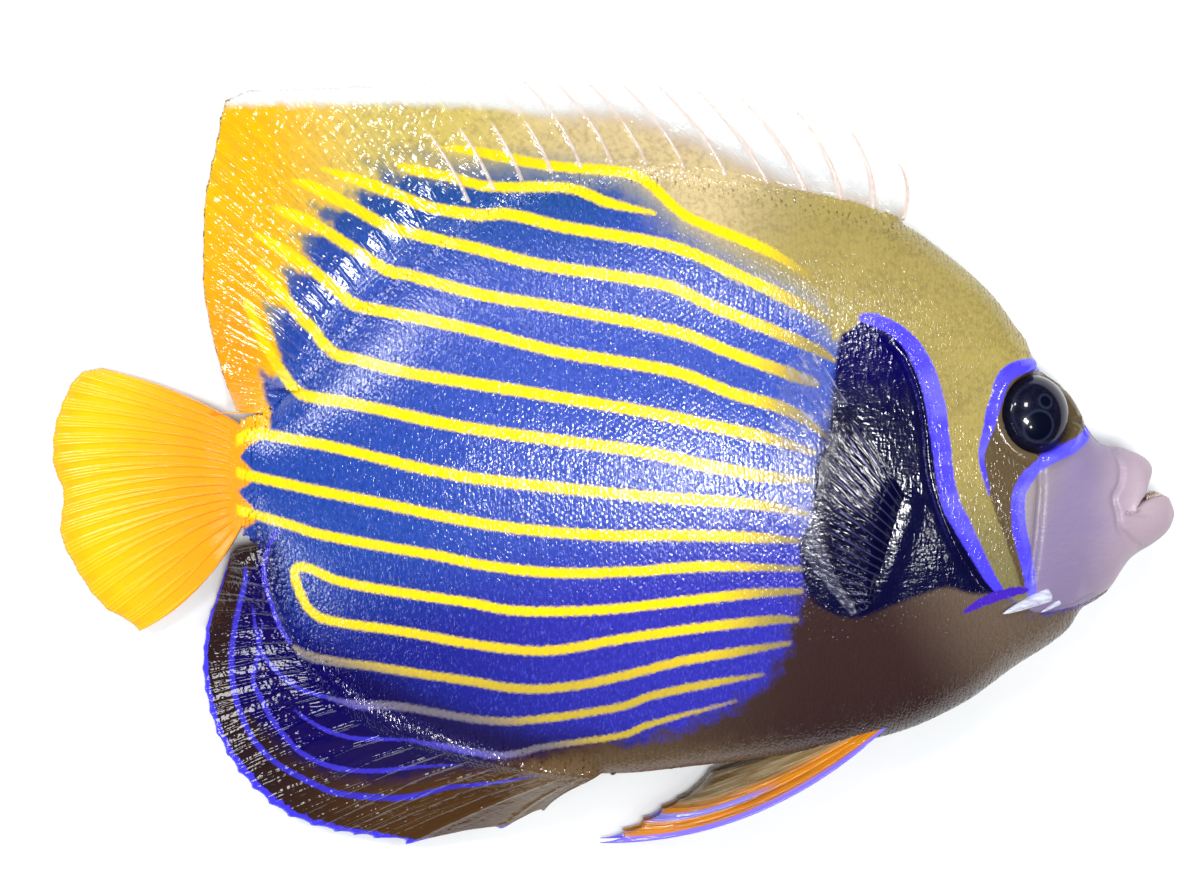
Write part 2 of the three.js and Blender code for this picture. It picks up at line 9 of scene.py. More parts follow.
import bpy
import json
import math
import numpy as np
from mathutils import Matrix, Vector

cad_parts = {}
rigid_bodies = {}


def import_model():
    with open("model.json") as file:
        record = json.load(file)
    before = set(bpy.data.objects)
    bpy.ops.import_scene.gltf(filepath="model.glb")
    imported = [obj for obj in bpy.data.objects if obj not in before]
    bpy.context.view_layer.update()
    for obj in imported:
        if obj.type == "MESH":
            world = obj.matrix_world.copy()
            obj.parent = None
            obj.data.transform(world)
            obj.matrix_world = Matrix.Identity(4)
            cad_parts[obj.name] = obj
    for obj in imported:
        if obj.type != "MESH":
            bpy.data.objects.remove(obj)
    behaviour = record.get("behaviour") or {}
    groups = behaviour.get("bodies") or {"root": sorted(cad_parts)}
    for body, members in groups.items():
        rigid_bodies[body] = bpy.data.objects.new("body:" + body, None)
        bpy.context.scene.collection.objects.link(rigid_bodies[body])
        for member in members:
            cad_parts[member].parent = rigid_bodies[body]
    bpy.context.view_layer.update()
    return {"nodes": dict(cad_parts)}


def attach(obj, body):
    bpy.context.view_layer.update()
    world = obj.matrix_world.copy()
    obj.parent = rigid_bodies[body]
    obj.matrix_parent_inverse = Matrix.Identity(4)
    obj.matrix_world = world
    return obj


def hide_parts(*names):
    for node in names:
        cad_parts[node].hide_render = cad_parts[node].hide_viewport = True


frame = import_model()
MM = 0.001
rng = np.random.default_rng(11)
print("frame nodes:", len(frame["nodes"]))

# %% [markdown]
# ## The camera and the light
#
# The camera hangs almost straight above the fish. Most light comes from one strong lamp near the
# camera, whose mirror image on the wet film is the sheen of the mid flank. Two wide sheets stand far
# out behind the tail, where the sloping fins mirror them as white streaks. Three small lamps add glints
# on the back and below the shoulder. A last sheet fills the shadows from the head's side. It and the
# dim sky are kept out of reflections, because a round muzzle would show them as a grey veil.

# %% Camera
lens = bpy.data.cameras.new("camera")
lens.lens = 77.24
lens.sensor_width = 36
camera = bpy.data.objects.new("camera", lens)
camera.location = (-0.0007, 0.03172, 0.399)
camera.rotation_euler = (math.radians(-4.06), 0, 0)
scene = bpy.context.scene
scene.collection.objects.link(camera)
scene.camera = camera
scene.view_settings.view_transform = "Standard"
print("camera at", [round(v, 4) for v in camera.location])


# %% Lights
def soft_light(name, place, target, size, watts, colour=(1, 1, 1)):
    """A glowing sheet at a place, turned to a target: all its lengths are in metres."""
    lamp = bpy.data.lights.new(name, "AREA")
    lamp.shape = "RECTANGLE"
    lamp.size, lamp.size_y = size
    lamp.energy = watts
    lamp.color = colour
    holder = bpy.data.objects.new(name, lamp)
    holder.location = place
    holder.rotation_euler = (Vector(target) - Vector(place)).to_track_quat("-Z", "Y").to_euler()
    scene.collection.objects.link(holder)
    return holder


soft_light("main_lamp", (0.04, -0.03, 0.66), (0, 0, 0), (0.1, 0.14), 2.7)
soft_light("sheet_rear_back", (-0.86, 0.5, 0.66), (-0.05, 0.03, 0), (0.34, 0.26), 5.4)
soft_light("glint_back", (-0.46, 0.53, 0.66), (-0.02, 0.04, 0), (0.1, 0.08), 0.8)
soft_light("sheet_rear_low", (-1.24, -0.56, 0.62), (-0.05, -0.03, 0), (0.34, 0.3), 3.0)
fill = soft_light("sheet_head", (0.6, 0.1, 0.55), (0.03, 0, 0), (0.45, 0.45), 1.9, (0.97, 0.98, 1))
fill.visible_glossy = False
soft_light("glint_top", (0.05, 0.38, 0.62), (0, 0, 0), (0.1, 0.1), 1.2)
soft_light("glint_shoulder", (0.17, -0.17, 0.64), (0.03, 0, 0), (0.06, 0.06), 0.35)
sky = bpy.data.worlds.new("sky")
sky.use_nodes = True
background = sky.node_tree.nodes["Background"].inputs
background["Color"].default_value = (0.9, 0.95, 1, 1)
background["Strength"].default_value = 0.24
sky.cycles_visibility.glossy = False
scene.world = sky
print("lights:", len(bpy.data.lights))

# %% [markdown]
# ## Writing shaders as sums
#
# A colour pattern is mostly arithmetic, and arithmetic reads badly as a page of linked boxes. One
# small class holds a socket and lets Python's own signs add the Math nodes, so that `1 - mask` or
# `level * 2 + noise` is written as it is meant. Everything else goes through one `node` method.


# %% A socket that can be added, multiplied and compared
class Value:
    def __init__(self, finish, socket):
        self.finish = finish
        self.socket = socket

    def maths(self, operation, *others):
        return self.finish.node("ShaderNodeMath", {"operation": operation}, dict(enumerate([self, *others])))

    def __add__(self, other):
        return self.maths("ADD", other)

    def __sub__(self, other):
        return self.maths("SUBTRACT", other)

    def __rsub__(self, other):
        return self.finish.node("ShaderNodeMath", {"operation": "SUBTRACT"}, {0: other, 1: self})

    def __mul__(self, other):
        return self.maths("MULTIPLY", other)

    def __truediv__(self, other):
        return self.maths("DIVIDE", other)

    def __neg__(self):
        return self * -1

    def __pow__(self, other):
        return self.maths("POWER", other)

    def __abs__(self):
        return self.maths("ABSOLUTE")

    __radd__ = __add__
    __rmul__ = __mul__

    def least(self, other):
        return self.maths("MINIMUM", other)

    def ramp(self, low, high, first=0, last=1):
        """Goes softly from first to last while this value goes from low to high."""
        settings = {"interpolation_type": "SMOOTHSTEP"}
        return self.finish.node("ShaderNodeMapRange", settings, {0: self, 1: low, 2: high, 3: first, 4: last})

    def within(self, softness):
        """1 where a level in millimetres is below zero, 0 where it is above."""
        return self.ramp(-softness, softness, 1, 0)


# %% A material under construction
class Finish:
    def __init__(self, name):
        self.material = bpy.data.materials.new(name)
        self.material.use_nodes = True
        self.tree = self.material.node_tree
        self.shader = self.tree.nodes["Principled BSDF"]
        self.kept = {}

    def feed(self, socket, value):
        if isinstance(value, Value):
            self.tree.links.new(value.socket, socket)
        elif socket.type == "RGBA":
            socket.default_value = (*value[:3], 1)
        else:
            socket.default_value = value

    def node(self, kind, settings, sockets, output=0):
        made = self.tree.nodes.new(kind)
        for key, value in settings.items():
            setattr(made, key, value)
        for key, value in sockets.items():
            self.feed(made.inputs[key], value)
        return Value(self, made.outputs[output])

    def once(self, key, make):
        """Keeps a node that several parts of the finish read, so that it is only made once."""
        if key not in self.kept:
            self.kept[key] = make()
        return self.kept[key]

    def mix(self, factor, first, second):
        return self.node("ShaderNodeMix", {"data_type": "RGBA"}, {0: factor, 6: first, 7: second}, 2)

    def drift(self, sizes, low, high, first, second, detail=2):
        """A colour that wanders between two, as a noise goes from low to high."""
        return self.mix(self.noise(sizes, detail).ramp(low, high), first, second)

    def place(self):
        """The point of the surface in millimetres."""
        def make():
            raw = self.node("ShaderNodeTexCoord", {}, {}, "Object")
            return self.node("ShaderNodeVectorMath", {"operation": "SCALE"}, {0: raw, "Scale": 1 / MM})
        return self.once("place", make)

    def part(self, key, index, whole):
        """One of the three numbers of a vector."""
        def make():
            return self.node("ShaderNodeSeparateXYZ", {}, {0: whole}, index)
        return self.once((key, index), make)

    def axis(self, index):
        return self.part("place", index, self.place())

    def carried(self, attribute, index):
        """One of the three numbers that a mesh carries in an attribute."""
        def make():
            return self.node("ShaderNodeAttribute", {"attribute_name": attribute}, {}, "Vector")
        return self.part(attribute, index, self.once(attribute, make))

    def level(self, name):
        """One of the levels that the meshes carry, by the name of its marking."""
        return self.carried(*LEVEL_PLACES[name])

    def stretched(self, sizes):
        """The point of the surface, measured in grains of these sizes in millimetres."""
        if isinstance(sizes, (int, float)):
            sizes = (sizes,) * 3
        grains = tuple(1 / size for size in sizes)
        return self.node("ShaderNodeVectorMath", {"operation": "MULTIPLY"}, {0: self.place(), 1: grains})

    def noise_at(self, where, detail):
        return self.node("ShaderNodeTexNoise", {}, {"Vector": where, "Scale": 1, "Detail": detail}, 0)

    def noise(self, sizes, detail=2):
        """A cloudy value round 0.5, with grains of these sizes in millimetres."""
        return self.noise_at(self.stretched(sizes), detail)

    def streaks(self, angle, along, across, detail=2):
        """Noise with long grains that run at an angle in the side view, in degrees from +X."""
        cos, sin = math.cos(math.radians(angle)), math.sin(math.radians(angle))
        x, y = self.axis(0), self.axis(1)
        run, side = (x * cos + y * sin) * (1 / along), (y * cos - x * sin) * (1 / across)
        where = self.node("ShaderNodeCombineXYZ", {}, {0: run, 1: side, 2: self.axis(2) * 0.3})
        return self.noise_at(where, detail)

    def pebbles(self, size):
        """The distance to the nearest of many scattered points, which makes cells of this size."""
        return self.node("ShaderNodeTexVoronoi", {}, {"Vector": self.stretched(size), "Scale": 1}, 0)

    def bump(self, height, distance, below=None):
        """A Bump node, where a height of 1 stands for a distance in millimetres."""
        sockets = {"Height": height, "Distance": distance * MM, "Strength": 1}
        if below is not None:
            sockets["Normal"] = below
        return self.node("ShaderNodeBump", {}, sockets)

    def surface(self, **sockets):
        for name, value in sockets.items():
            self.feed(self.shader.inputs[name.replace("_", " ")], value)
        return self.material


print("shader helpers are ready")

# %% [markdown]
# ## The shape of the fish
#
# The body is thin and deep, so its side view says almost everything. A back line and a belly line
# bound it, and a third profile gives half its width at each station. A superellipse between them
# makes the section: round on the flanks, sharp along the back. The same profiles made the solids.


# %% Smooth functions through points
def profile(points):
    """A smooth function through (place, value) points that never swings past them."""
    places, values = np.array(points, float).T
    rise = np.diff(values) / np.diff(places)
    slope = np.concatenate([rise[:1], np.zeros(len(places) - 2), rise[-1:]])
    before, after = rise[:-1], rise[1:]
    same = before * after > 0
    slope[1:-1][same] = 2 * before[same] * after[same] / (before[same] + after[same])

    def value(x):
        x = np.asarray(x, float)
        k = np.clip(np.searchsorted(places, x, side="right") - 1, 0, len(places) - 2)
        width = places[k + 1] - places[k]
        t = np.clip((x - places[k]) / width, 0, 1)
        level = (1 + 2 * t) * (1 - t) ** 2 * values[k] + t * t * (3 - 2 * t) * values[k + 1]
        return level + width * (t * (1 - t) ** 2 * slope[k] - t * t * (1 - t) * slope[k + 1])

    return value


def curve(points, counts=None):
    """A smooth curve through points, each reached at its own count."""
    counts = range(len(points)) if counts is None else counts
    axes = [profile(list(zip(counts, values))) for values in zip(*points)]
    return lambda count: [axis(count) for axis in axes]


def smooth(t):
    s = np.clip(t, 0, 1)
    return s * s * (3 - 2 * s)


back_line = profile([
    (-55, 7.1), (-51.5, 8.3), (-48, 11.8), (-44, 17.5), (-36.5, 25.8), (-26, 34.9), (-16.2, 41.1),
    (-4, 44.5), (6, 45.2), (20, 42.8), (35.3, 39.9), (44.5, 36.8), (52.6, 31.1), (58.2, 25.9), (62, 20.4),
    (65.2, 15), (68.9, 12.2), (71.2, 8.2), (74.5, 3.9), (78, 3.2), (81.2, 1.7), (84.2, -2.2), (85.6, -6.4),
])
belly_line = profile([
    (-55, -9.7), (-52.5, -12), (-50.3, -18.5), (-47.5, -25), (-44, -30.3), (-38.5, -35.8), (-31, -39.8),
    (-20, -43.4), (-8.3, -45.9), (1.1, -46.4), (13.9, -45.2), (34.2, -42.5), (44.6, -40), (54, -35.7),
    (61.7, -30.1), (69.8, -24.4), (71.9, -21.2), (75.5, -18.8), (79.4, -13.4), (82.7, -11.1), (84.6, -9.1),
    (85.6, -6.8),
])
half_width = profile([
    (-55, 2.2), (-52.5, 3.6), (-48, 5), (-40, 6.9), (-25, 9.6), (-10, 11.5), (5, 12.9), (20, 13.5),
    (38, 13.5), (48, 13), (56, 11.9), (63, 10.4), (70, 8), (76, 5.9), (81, 4.4), (84, 3), (85.6, 0.9),
])
widest_height = profile([(-55, -1.3), (-30, -1.5), (0, -2), (40, -3), (60, -4.5), (76, -5.5), (85.6, -6.6)])
back_sharpness = profile([(-55, 0.55), (-45, 0.8), (-25, 0.8), (10, 0.7), (40, 0.6), (61, 0.34), (85.6, 0.4)])
belly_sharpness = profile([
    (-55, 0.55), (-45, 0.85), (-25, 0.8), (10, 0.66), (40, 0.6), (60, 0.5), (85.6, 0.45),
])
TAIL_END = -55
NOSE_END = 85.6
FLANK_HEIGHT = 12.6
SIDES = ((1, "right"), (-1, "left"))
TAIL_DROP = 4.2


def middle_height(x):
    """The height of the fish's middle plane, which sinks towards the tail."""
    return FLANK_HEIGHT - TAIL_DROP * smooth((-20 - np.asarray(x, float)) / 40)


def half_thickness(x, y):
    """Half the thickness of the flesh at a point of the side view."""
    wide = widest_height(x)
    above = y > wide
    reach = np.where(above, back_line(x) - wide, wide - belly_line(x))
    part = np.clip(np.abs(y - wide) / reach, 0, 1)
    return half_width(x) * (1 - part * part) ** np.where(above, back_sharpness(x), belly_sharpness(x))


def flank(x, y, side=1):
    return middle_height(x) + side * half_thickness(x, y)


print("body length", NOSE_END - TAIL_END, "mm, depth", round(float(back_line(6) - belly_line(1)), 1), "mm")

# %% [markdown]
# ## The markings, drawn once
#
# The stripes run over skin, scales and fins alike, so they are drawn once, as a flat map of the side
# view. Each marking is a *level*: the distance in millimetres to its edge, below zero inside. Levels
# blend smoothly between the points of a mesh, and the shader turns them into crisp edges later, so a
# stripe stays sharp on any mesh. Three levels share one vector attribute.

# %% The map and how lines and areas are drawn on it
MAP_STEP = 0.25
MAP_X = np.arange(-92, 92, MAP_STEP)
MAP_Y = np.arange(-66, 66, MAP_STEP)
REACH = 6.0


def smooth_line(points, step=0.6, closed=False):
    """Many points on a rounded line through a few."""
    points = np.array(points, float)
    if closed:
        points = np.vstack([points, points[:1]])
    ends = (points[-2], points[1]) if closed else (2 * points[0] - points[1], 2 * points[-1] - points[-2])
    p = np.vstack([ends[0], points, ends[1]])
    found = []
    for a, b, c, d in zip(p[:-3], p[1:-2], p[2:-1], p[3:]):
        t = np.linspace(0, 1, max(int(np.hypot(*(c - b)[:2]) / step), 1), endpoint=False)[:, None]
        turn = (2 * a - 5 * b + 4 * c - d) * t * t + (3 * b - a - 3 * c + d) * t ** 3
        found.append(b + 0.5 * ((c - a) * t + turn))
    return np.vstack([*found, points[-1:]])


def line_level(rows, closed=False):
    """The distance to a line of (x, y, half width) points, less its half width."""
    rows = smooth_line(rows, closed=closed)
    level = np.full((len(MAP_X), len(MAP_Y)), REACH)
    for a, b in zip(rows[:-1], rows[1:]):
        low = np.minimum(a, b)[:2] - REACH
        high = np.maximum(a, b)[:2] + REACH
        i0, i1 = np.searchsorted(MAP_X, (low[0], high[0]))
        j0, j1 = np.searchsorted(MAP_Y, (low[1], high[1]))
        if i0 == i1 or j0 == j1:
            continue
        x, y = MAP_X[i0:i1, None], MAP_Y[None, j0:j1]
        run = b[:2] - a[:2]
        t = np.clip(((x - a[0]) * run[0] + (y - a[1]) * run[1]) / max(run @ run, 1e-9), 0, 1)
        away = np.hypot(x - a[0] - t * run[0], y - a[1] - t * run[1]) - (a[2] + t * (b[2] - a[2]))
        part = level[i0:i1, j0:j1]
        np.minimum(part, away, out=part)
    return level


def area_level(points):
    """The distance to the edge of an area, below zero inside it."""
    rows = np.column_stack([np.array(points, float), np.zeros(len(points))])
    level = line_level(rows, closed=True)
    edge = smooth_line(rows, closed=True)[:, :2]
    x, y = MAP_X[:, None], MAP_Y[None, :]
    inside = np.zeros(level.shape, bool)
    for (ax, ay), (bx, by) in zip(edge[:-1], edge[1:]):
        if ay != by:
            crossed = (ay > y) != (by > y)
            inside ^= crossed & (x < ax + (y - ay) * (bx - ax) / (by - ay))
    return np.where(inside, -level, level)


def weighted(points, width, ends=(1.0, 1.0)):
    """Gives a line its half width, scaled at its two ends."""
    scales = np.ones(len(points))
    scales[0], scales[-1] = ends
    return [(x, y, width * scale) for (x, y), scale in zip(points, scales)]


print("map of", len(MAP_X), "by", len(MAP_Y), "cells")

# %% The yellow stripes
# Each stripe has a half width, the share of it that is left at its two ends, and its line.
STRIPES = [
    (0.75, (0.2, 0.3), [
        (-24.6, 48.3), (-18.7, 47.5), (-8, 45.4), (2.4, 44.5), (6.4, 42.9), (10.8, 38.8), (14.2, 36.8),
        (24.3, 32.6), (32.1, 27.6),
    ]),
    (0.75, (0.2, 0.4), [
        (-31.5, 45.7), (-28.7, 44.9), (-23.2, 43.8), (-16.9, 42.3), (-5.6, 42.1), (0.5, 39.9),
        (7.4, 38.3),
    ]),
    (0.85, (0.3, 0.4), [
        (-42.7, 45.2), (-37, 43.3), (-31.5, 41.3), (-25.9, 39.2), (-18.6, 38.1), (-14.2, 38.2),
        (-5.6, 36.2), (9.7, 33.4), (19.8, 29.1), (29.7, 24.3), (33.7, 21.6),
    ]),
    (0.85, (0.3, 0.4), [
        (-47.4, 43.5), (-44.1, 42.4), (-38.3, 39.5), (-32.8, 36.5), (-27.2, 35), (-18.5, 33),
        (-9.4, 30.7), (0.5, 29.2), (9.7, 27.5), (16.2, 24.5), (29.6, 19), (33.7, 16.7),
    ]),
    (0.85, (0.4, 0.4), [
        (-50.4, 39.4), (-47.8, 38.3), (-44.3, 37), (-38.2, 33.3), (-32.7, 30), (-28.4, 29), (-18.4, 26.4),
        (-5.5, 24.2), (9.7, 21.2), (18.5, 17.9), (28.5, 14.3), (31, 13.3),
    ]),
    (0.85, (0.5, 0.4), [
        (-53.1, 35.2), (-49.8, 33.4), (-44.2, 29.9), (-39.5, 26.1), (-36.6, 24.5), (-28.2, 23),
        (-19.1, 21.1), (-6.5, 18), (9.6, 15.3), (18.5, 12.1), (26.9, 9.5), (32.4, 5.7),
    ]),
    (0.85, (0.8, 0.5), [
        (-52.5, 29.8), (-50.4, 27.9), (-46.3, 23), (-44, 21), (-40.7, 17.6), (-36.3, 16.5), (-29.2, 14.9),
        (-15.6, 12.8), (4.5, 9.6), (15.7, 7.3), (24, 5.5), (30.5, 3.4),
    ]),
    (0.85, (0.8, 0.5), [
        (-54.6, 24.7), (-52, 19.1), (-49.3, 14.9), (-46, 11.6), (-42.7, 10.8), (-36.1, 9.9), (-19, 6.7),
        (4.5, 3.7), (15.7, 1.4), (24, -0.1), (30.1, -0.5),
    ]),
    (0.8, (1, 0.5), [
        (-56.5, 3.6), (-55.3, 4.3), (-52.8, 5.3), (-46.9, 4.6), (-39.6, 3.5), (-25.7, 0.6), (-15.6, -0.9),
        (4.5, -2.8), (21.3, -4), (29.7, -5.5),
    ]),
    (0.8, (1, 0.5), [
        (-56.5, -0.6), (-50.5, -1.6), (-43.2, -2.9), (-32.6, -4.6), (-15.7, -7.5), (-1, -8.7),
        (10.2, -8.6), (21.3, -8.9), (28.3, -9.4),
    ]),
    (0.75, (1, 0.5), [
        (-56.5, -6.2), (-52.5, -7.1), (-46.9, -8.4), (-41.6, -9.7), (-25.3, -12), (-17, -13.5),
        (-6.6, -14.4), (4.6, -14), (15.8, -13.2), (29.2, -13.6),
    ]),
    (0.72, (0.6, 0.5), [
        (28.7, -16.9), (21.4, -17.3), (10.3, -18.6), (-1, -19.9), (-12.9, -20.2), (-21.2, -18.9),
        (-38.4, -16.8), (-44.4, -14.8), (-46.4, -14.9), (-46.7, -16.4), (-45.8, -19.2), (-44.2, -21.6),
        (-41.2, -22.8), (-29.9, -23.9), (-21.3, -25.2), (-13, -26.2), (-6.8, -26.1), (1.8, -24.4),
        (13.1, -22.6), (24.2, -21.3), (28.2, -21.2),
    ]),
    (0.7, (0.4, 0.5), [
        (-47.2, -27.2), (-45.5, -28.4), (-41, -29.3), (-34.4, -29.7), (-21.4, -31.1), (-12.5, -32.3),
        (-4.7, -31.7), (2.3, -30.1), (11.1, -27.7), (19.3, -26.2), (27.2, -24.8),
    ]),
    (0.62, (0.3, 0.4), [
        (-43.5, -34.7), (-36.9, -35.9), (-30.3, -35.9), (-17.4, -37.6), (-8.9, -37), (2.3, -34.9),
        (7, -33.1), (15.3, -31.2), (23.4, -29.7),
    ]),
    (0.5, (0.3, 0.3), [
        (-30, -41.1), (-25, -41.8), (-17.5, -43.1), (-13.2, -42.9), (-9, -41.7), (2.3, -39.6),
        (7.1, -37.6), (19.5, -33.9),
    ]),
]
levels = {}
stripe_levels = [line_level(weighted(points, width, ends)) for width, ends, points in STRIPES]
levels["stripe"] = np.min(stripe_levels, axis=0)
print("yellow stripes:", len(STRIPES))

# %% The bright blue lines
# On the head they edge the dark band, the eye and the muzzle. On the anal fin they ring its centre.
# Each point has a half width of its own.
BLUE_LINES = {
    "behind the gill cover": [
        (37.6, 22.9, 0.5), (38.9, 22.8, 0.9), (41.5, 21.8, 1), (44.1, 19.8, 1.15), (46.1, 16.7, 1.3),
        (47.4, 13.4, 1.35), (48.3, 9.4, 1.4), (48.8, 5.6, 1.35), (49.1, 3.4, 1.35), (49.7, -1, 1.3),
        (50.6, -4.4, 1.35), (52, -7, 1.35), (53.5, -9.8, 1.2), (55.1, -12.7, 1), (56.5, -15.1, 0.85),
        (58.2, -17.2, 0.6),
    ],
    "behind the eye": [
        (65.4, 15.4, 0.6), (64.2, 15.9, 0.9), (62.3, 15.9, 1), (59.7, 15.2, 1.05), (58.1, 13.6, 1),
        (57.4, 11.4, 0.95), (56.6, 9.2, 0.9), (56.1, 6.9, 0.8), (55.4, 4.9, 0.65), (55, 3.3, 0.5),
        (55.1, 1.6, 0.4), (56.2, -2.8, 0.2),
    ],
    "round the muzzle": [
        (72.2, 6.1, 0.7), (71.4, 5.4, 0.85), (69.2, 3.9, 1), (66.3, 2.8, 1.05), (64.1, 1.6, 1),
        (61.9, -0.4, 1), (60.6, -2.7, 1), (60.5, -5.4, 1), (60.8, -8.3, 1.05), (61.6, -11.3, 1.05),
        (62.4, -14.3, 0.95), (63, -17.3, 0.75), (63.3, -18.9, 0.5),
    ],
    "outer ring of the anal fin": [
        (-54.7, -15.5, 0.3), (-55, -17.9, 0.4), (-56.1, -21.4, 0.45), (-57.1, -25.9, 0.45),
        (-57.6, -30.5, 0.5), (-57.3, -35.1, 0.5), (-56.2, -38.8, 0.5), (-54.4, -42.7, 0.5),
        (-51, -46.2, 0.5), (-46.3, -48.8, 0.5), (-41.8, -50.7, 0.55), (-35.2, -51.3, 0.55),
        (-29.8, -51, 0.5), (-24.1, -49.2, 0.4), (-17.6, -48.2, 0.3), (-10, -46.5, 0.1),
    ],
    "inner ring of the anal fin": [
        (-52.3, -24, 0.15), (-53.2, -29, 0.3), (-54.1, -33.2, 0.4), (-52.9, -35.9, 0.45),
        (-51.2, -39.3, 0.45), (-48.9, -42.2, 0.45), (-46.2, -44.7, 0.45), (-41.2, -46.5, 0.45),
        (-35, -46.7, 0.4), (-28.5, -45.7, 0.3), (-21.8, -44.9, 0.1),
    ],
    "first line of the anal fin": [
        (-49.3, -8.9, 0.25), (-51.2, -13.1, 0.4), (-51.7, -16.8, 0.42), (-50.7, -20.6, 0.42),
        (-49.5, -24.1, 0.4), (-47.8, -26.7, 0.3),
    ],
    "second line of the anal fin": [
        (-53.9, -21.5, 0.15), (-53.3, -25.8, 0.3), (-52.6, -28.6, 0.35), (-51.1, -30.6, 0.38),
        (-48.8, -32.6, 0.38), (-46.2, -34.1, 0.35), (-42.3, -34.9, 0.25),
    ],
    "third line of the anal fin": [
        (-47.6, -37.4, 0.15), (-45.9, -38.6, 0.3), (-42.8, -40.3, 0.35), (-38.3, -41.4, 0.35),
        (-33.5, -41.2, 0.3), (-28.3, -41, 0.15),
    ],
}
levels["blue"] = np.min([line_level(rows) for rows in BLUE_LINES.values()], axis=0)
levels["violet"] = line_level([
    (62.4, -17.2, 0.3), (60.4, -17.3, 0.7), (57.9, -17.9, 0.8), (55.5, -18.8, 0.7), (53, -20.2, 0.25),
])
print("blue lines:", len(BLUE_LINES))

# %% The areas of colour
# Where an area ends at a blue line, it reuses the line's own points.
muzzle_line, outer_ring = (
    [row[:2] for row in BLUE_LINES[name]] for name in ("round the muzzle", "outer ring of the anal fin")
)
AREAS = {
    "mask": [
        (34.4, 19.6), (35.4, 22), (38, 23.2), (41.5, 21.8), (44.6, 19), (46.4, 15.8), (47.6, 12),
        (48.4, 7), (49, 2), (49.7, -2.5), (51.4, -7), (53.6, -11), (56, -15), (57.8, -17.3), (54, -17.5),
        (50, -16.5), (45, -18), (41, -19.6), (37, -21), (33.5, -20.3), (30.2, -18), (28.9, -13.9),
        (28.4, -9.7), (30, -6.1), (30.7, 1), (32.4, 5.3), (33, 11.1), (33.9, 16.9),
    ],
    "head": [
        (33, 21.5), (34.6, 20.6), (38.3, 22.8), (41.5, 21.8), (44.1, 19.8), (46.1, 16.7), (47.4, 13.4),
        (48.4, 8), (49.1, 3.4), (49.9, -1.8), (51.3, -6), (53.5, -9.8), (55.8, -14), (58.2, -17.4),
        (64, -20), (74, -19.6), (90, -14), (90, 64), (40, 64), (33, 45),
    ],
    "cheek": [
        muzzle_line[1], *muzzle_line[3:10], (62.8, -16), (61.6, -16.8), (60.1, -13), (58.8, -9.6),
        (57.5, -6.2), (56.3, -2.7), (55.1, 1.6), (55.4, 4.9), (56.4, 8.6), (58.2, 13.6), (62, 15.7),
        (66, 15), (69, 12.5), (72.5, 7.5),
    ],
    "muzzle": [
        (73.5, 6.2), *muzzle_line[1:11], (63.2, -19), (62.9, -20.4), (65.2, -20.8), (68.2, -20.5),
        (71.2, -20), (73.3, -19.3), (77, -17.5), (90, -14), (92, 0), (86, 8),
    ],
    "belly": [
        (-12, -47), (-9, -44.4), (-0.7, -41.9), (8.3, -39.5), (17.2, -36), (23.4, -31.6), (26.6, -25.5),
        (28.2, -20), (29.5, -14), (34, -8), (50, -9), (58, -17.2), (63, -19.6), (68, -20.3),
        (73.3, -19.2), (78, -16), (86, -30), (60, -62), (-12, -62),
    ],
    "back": [
        (35.4, 20.2), (32.9, 23.6), (28.6, 27.2), (21.3, 31.3), (14, 35.6), (8.2, 40.6), (2.4, 44.6),
        (-8.8, 46.6), (-21.3, 46.8), (-27.1, 47.4), (-31.3, 47.8), (-36.3, 45.8), (-41.3, 42.7),
        (-45.5, 39.5), (-47.6, 36.2), (-49.6, 32.1), (-51.2, 28.5), (-52.8, 23.7), (-52.9, 18),
        (-51.6, 11), (-50.4, 8.2), (-53.3, 5.6), (-55.2, 3.5), (-55.5, -3.8), (-54.8, -9.4), (-56.5, -12),
        (-60, -17), (-63.8, -22.5), (-69, -29), (-90, -40), (-90, 64), (40, 64), (40, 26),
    ],
    "margin": [
        (-64, 55.4), (-56, 55.2), (-45.5, 55), (-31, 55), (-18.8, 54.4), (-7, 53.1), (2.7, 51.1), (9, 48.9),
        (19.3, 44.6), (28.8, 41.9), (37.5, 40.2), (43.8, 38), (60, 38), (60, 65), (-64, 65),
    ],
    "rim": [(-54, -11), *outer_ring[1:-1], (-10, -46.2), (2, -45), (2, -64), (-80, -64), (-80, -12)],
    "low": [
        (-60, -11), (-51, -11.5), (-49.4, -14), (-49, -18), (-48.2, -22.5), (-46.6, -25.6), (-41, -28.4),
        (-35, -31), (-26.4, -34.9), (-17.8, -37.9), (-9.2, -40), (2, -41), (20, -44), (60, -50),
        (60, -64), (-80, -64), (-80, -11),
    ],
}
for name, outline in AREAS.items():
    levels[name] = area_level(outline)
LEVEL_GROUPS = {
    "marks_a": ("stripe", "blue", "mask"),
    "marks_b": ("head", "cheek", "muzzle"),
    "marks_c": ("back", "margin", "belly"),
    "marks_d": ("rim", "low", "violet"),
}
LEVEL_PLACES = {name: (group, k) for group, names in LEVEL_GROUPS.items() for k, name in enumerate(names)}
print("areas:", len(AREAS))

# %% [markdown]
# ## Meshes from arrays
#
# A fish has tens of thousands of scales, so its meshes are made from whole arrays of points and faces
# at once. The same helper gives each mesh its levels, read from the flat map, and a map for baking.

# %% Small helpers
def unit(vectors):
    """Vectors with their lengths made 1."""
    return vectors / np.maximum(np.linalg.norm(vectors, axis=-1, keepdims=True), 1e-9)


def run_length(line):
    """How far each point of a line is from its start, measured along it."""
    return np.concatenate([[0], np.cumsum(np.linalg.norm(np.diff(line, axis=0), axis=1))])


def quad_uv(u, v, i, j):
    """The corners on the baking map of the cells i, j of a grid with edges at u and v."""
    corners = (i, j), (i + 1, j), (i + 1, j + 1), (i, j + 1)
    return np.stack([np.stack([u[a], v[b]], -1) for a, b in corners], 1)


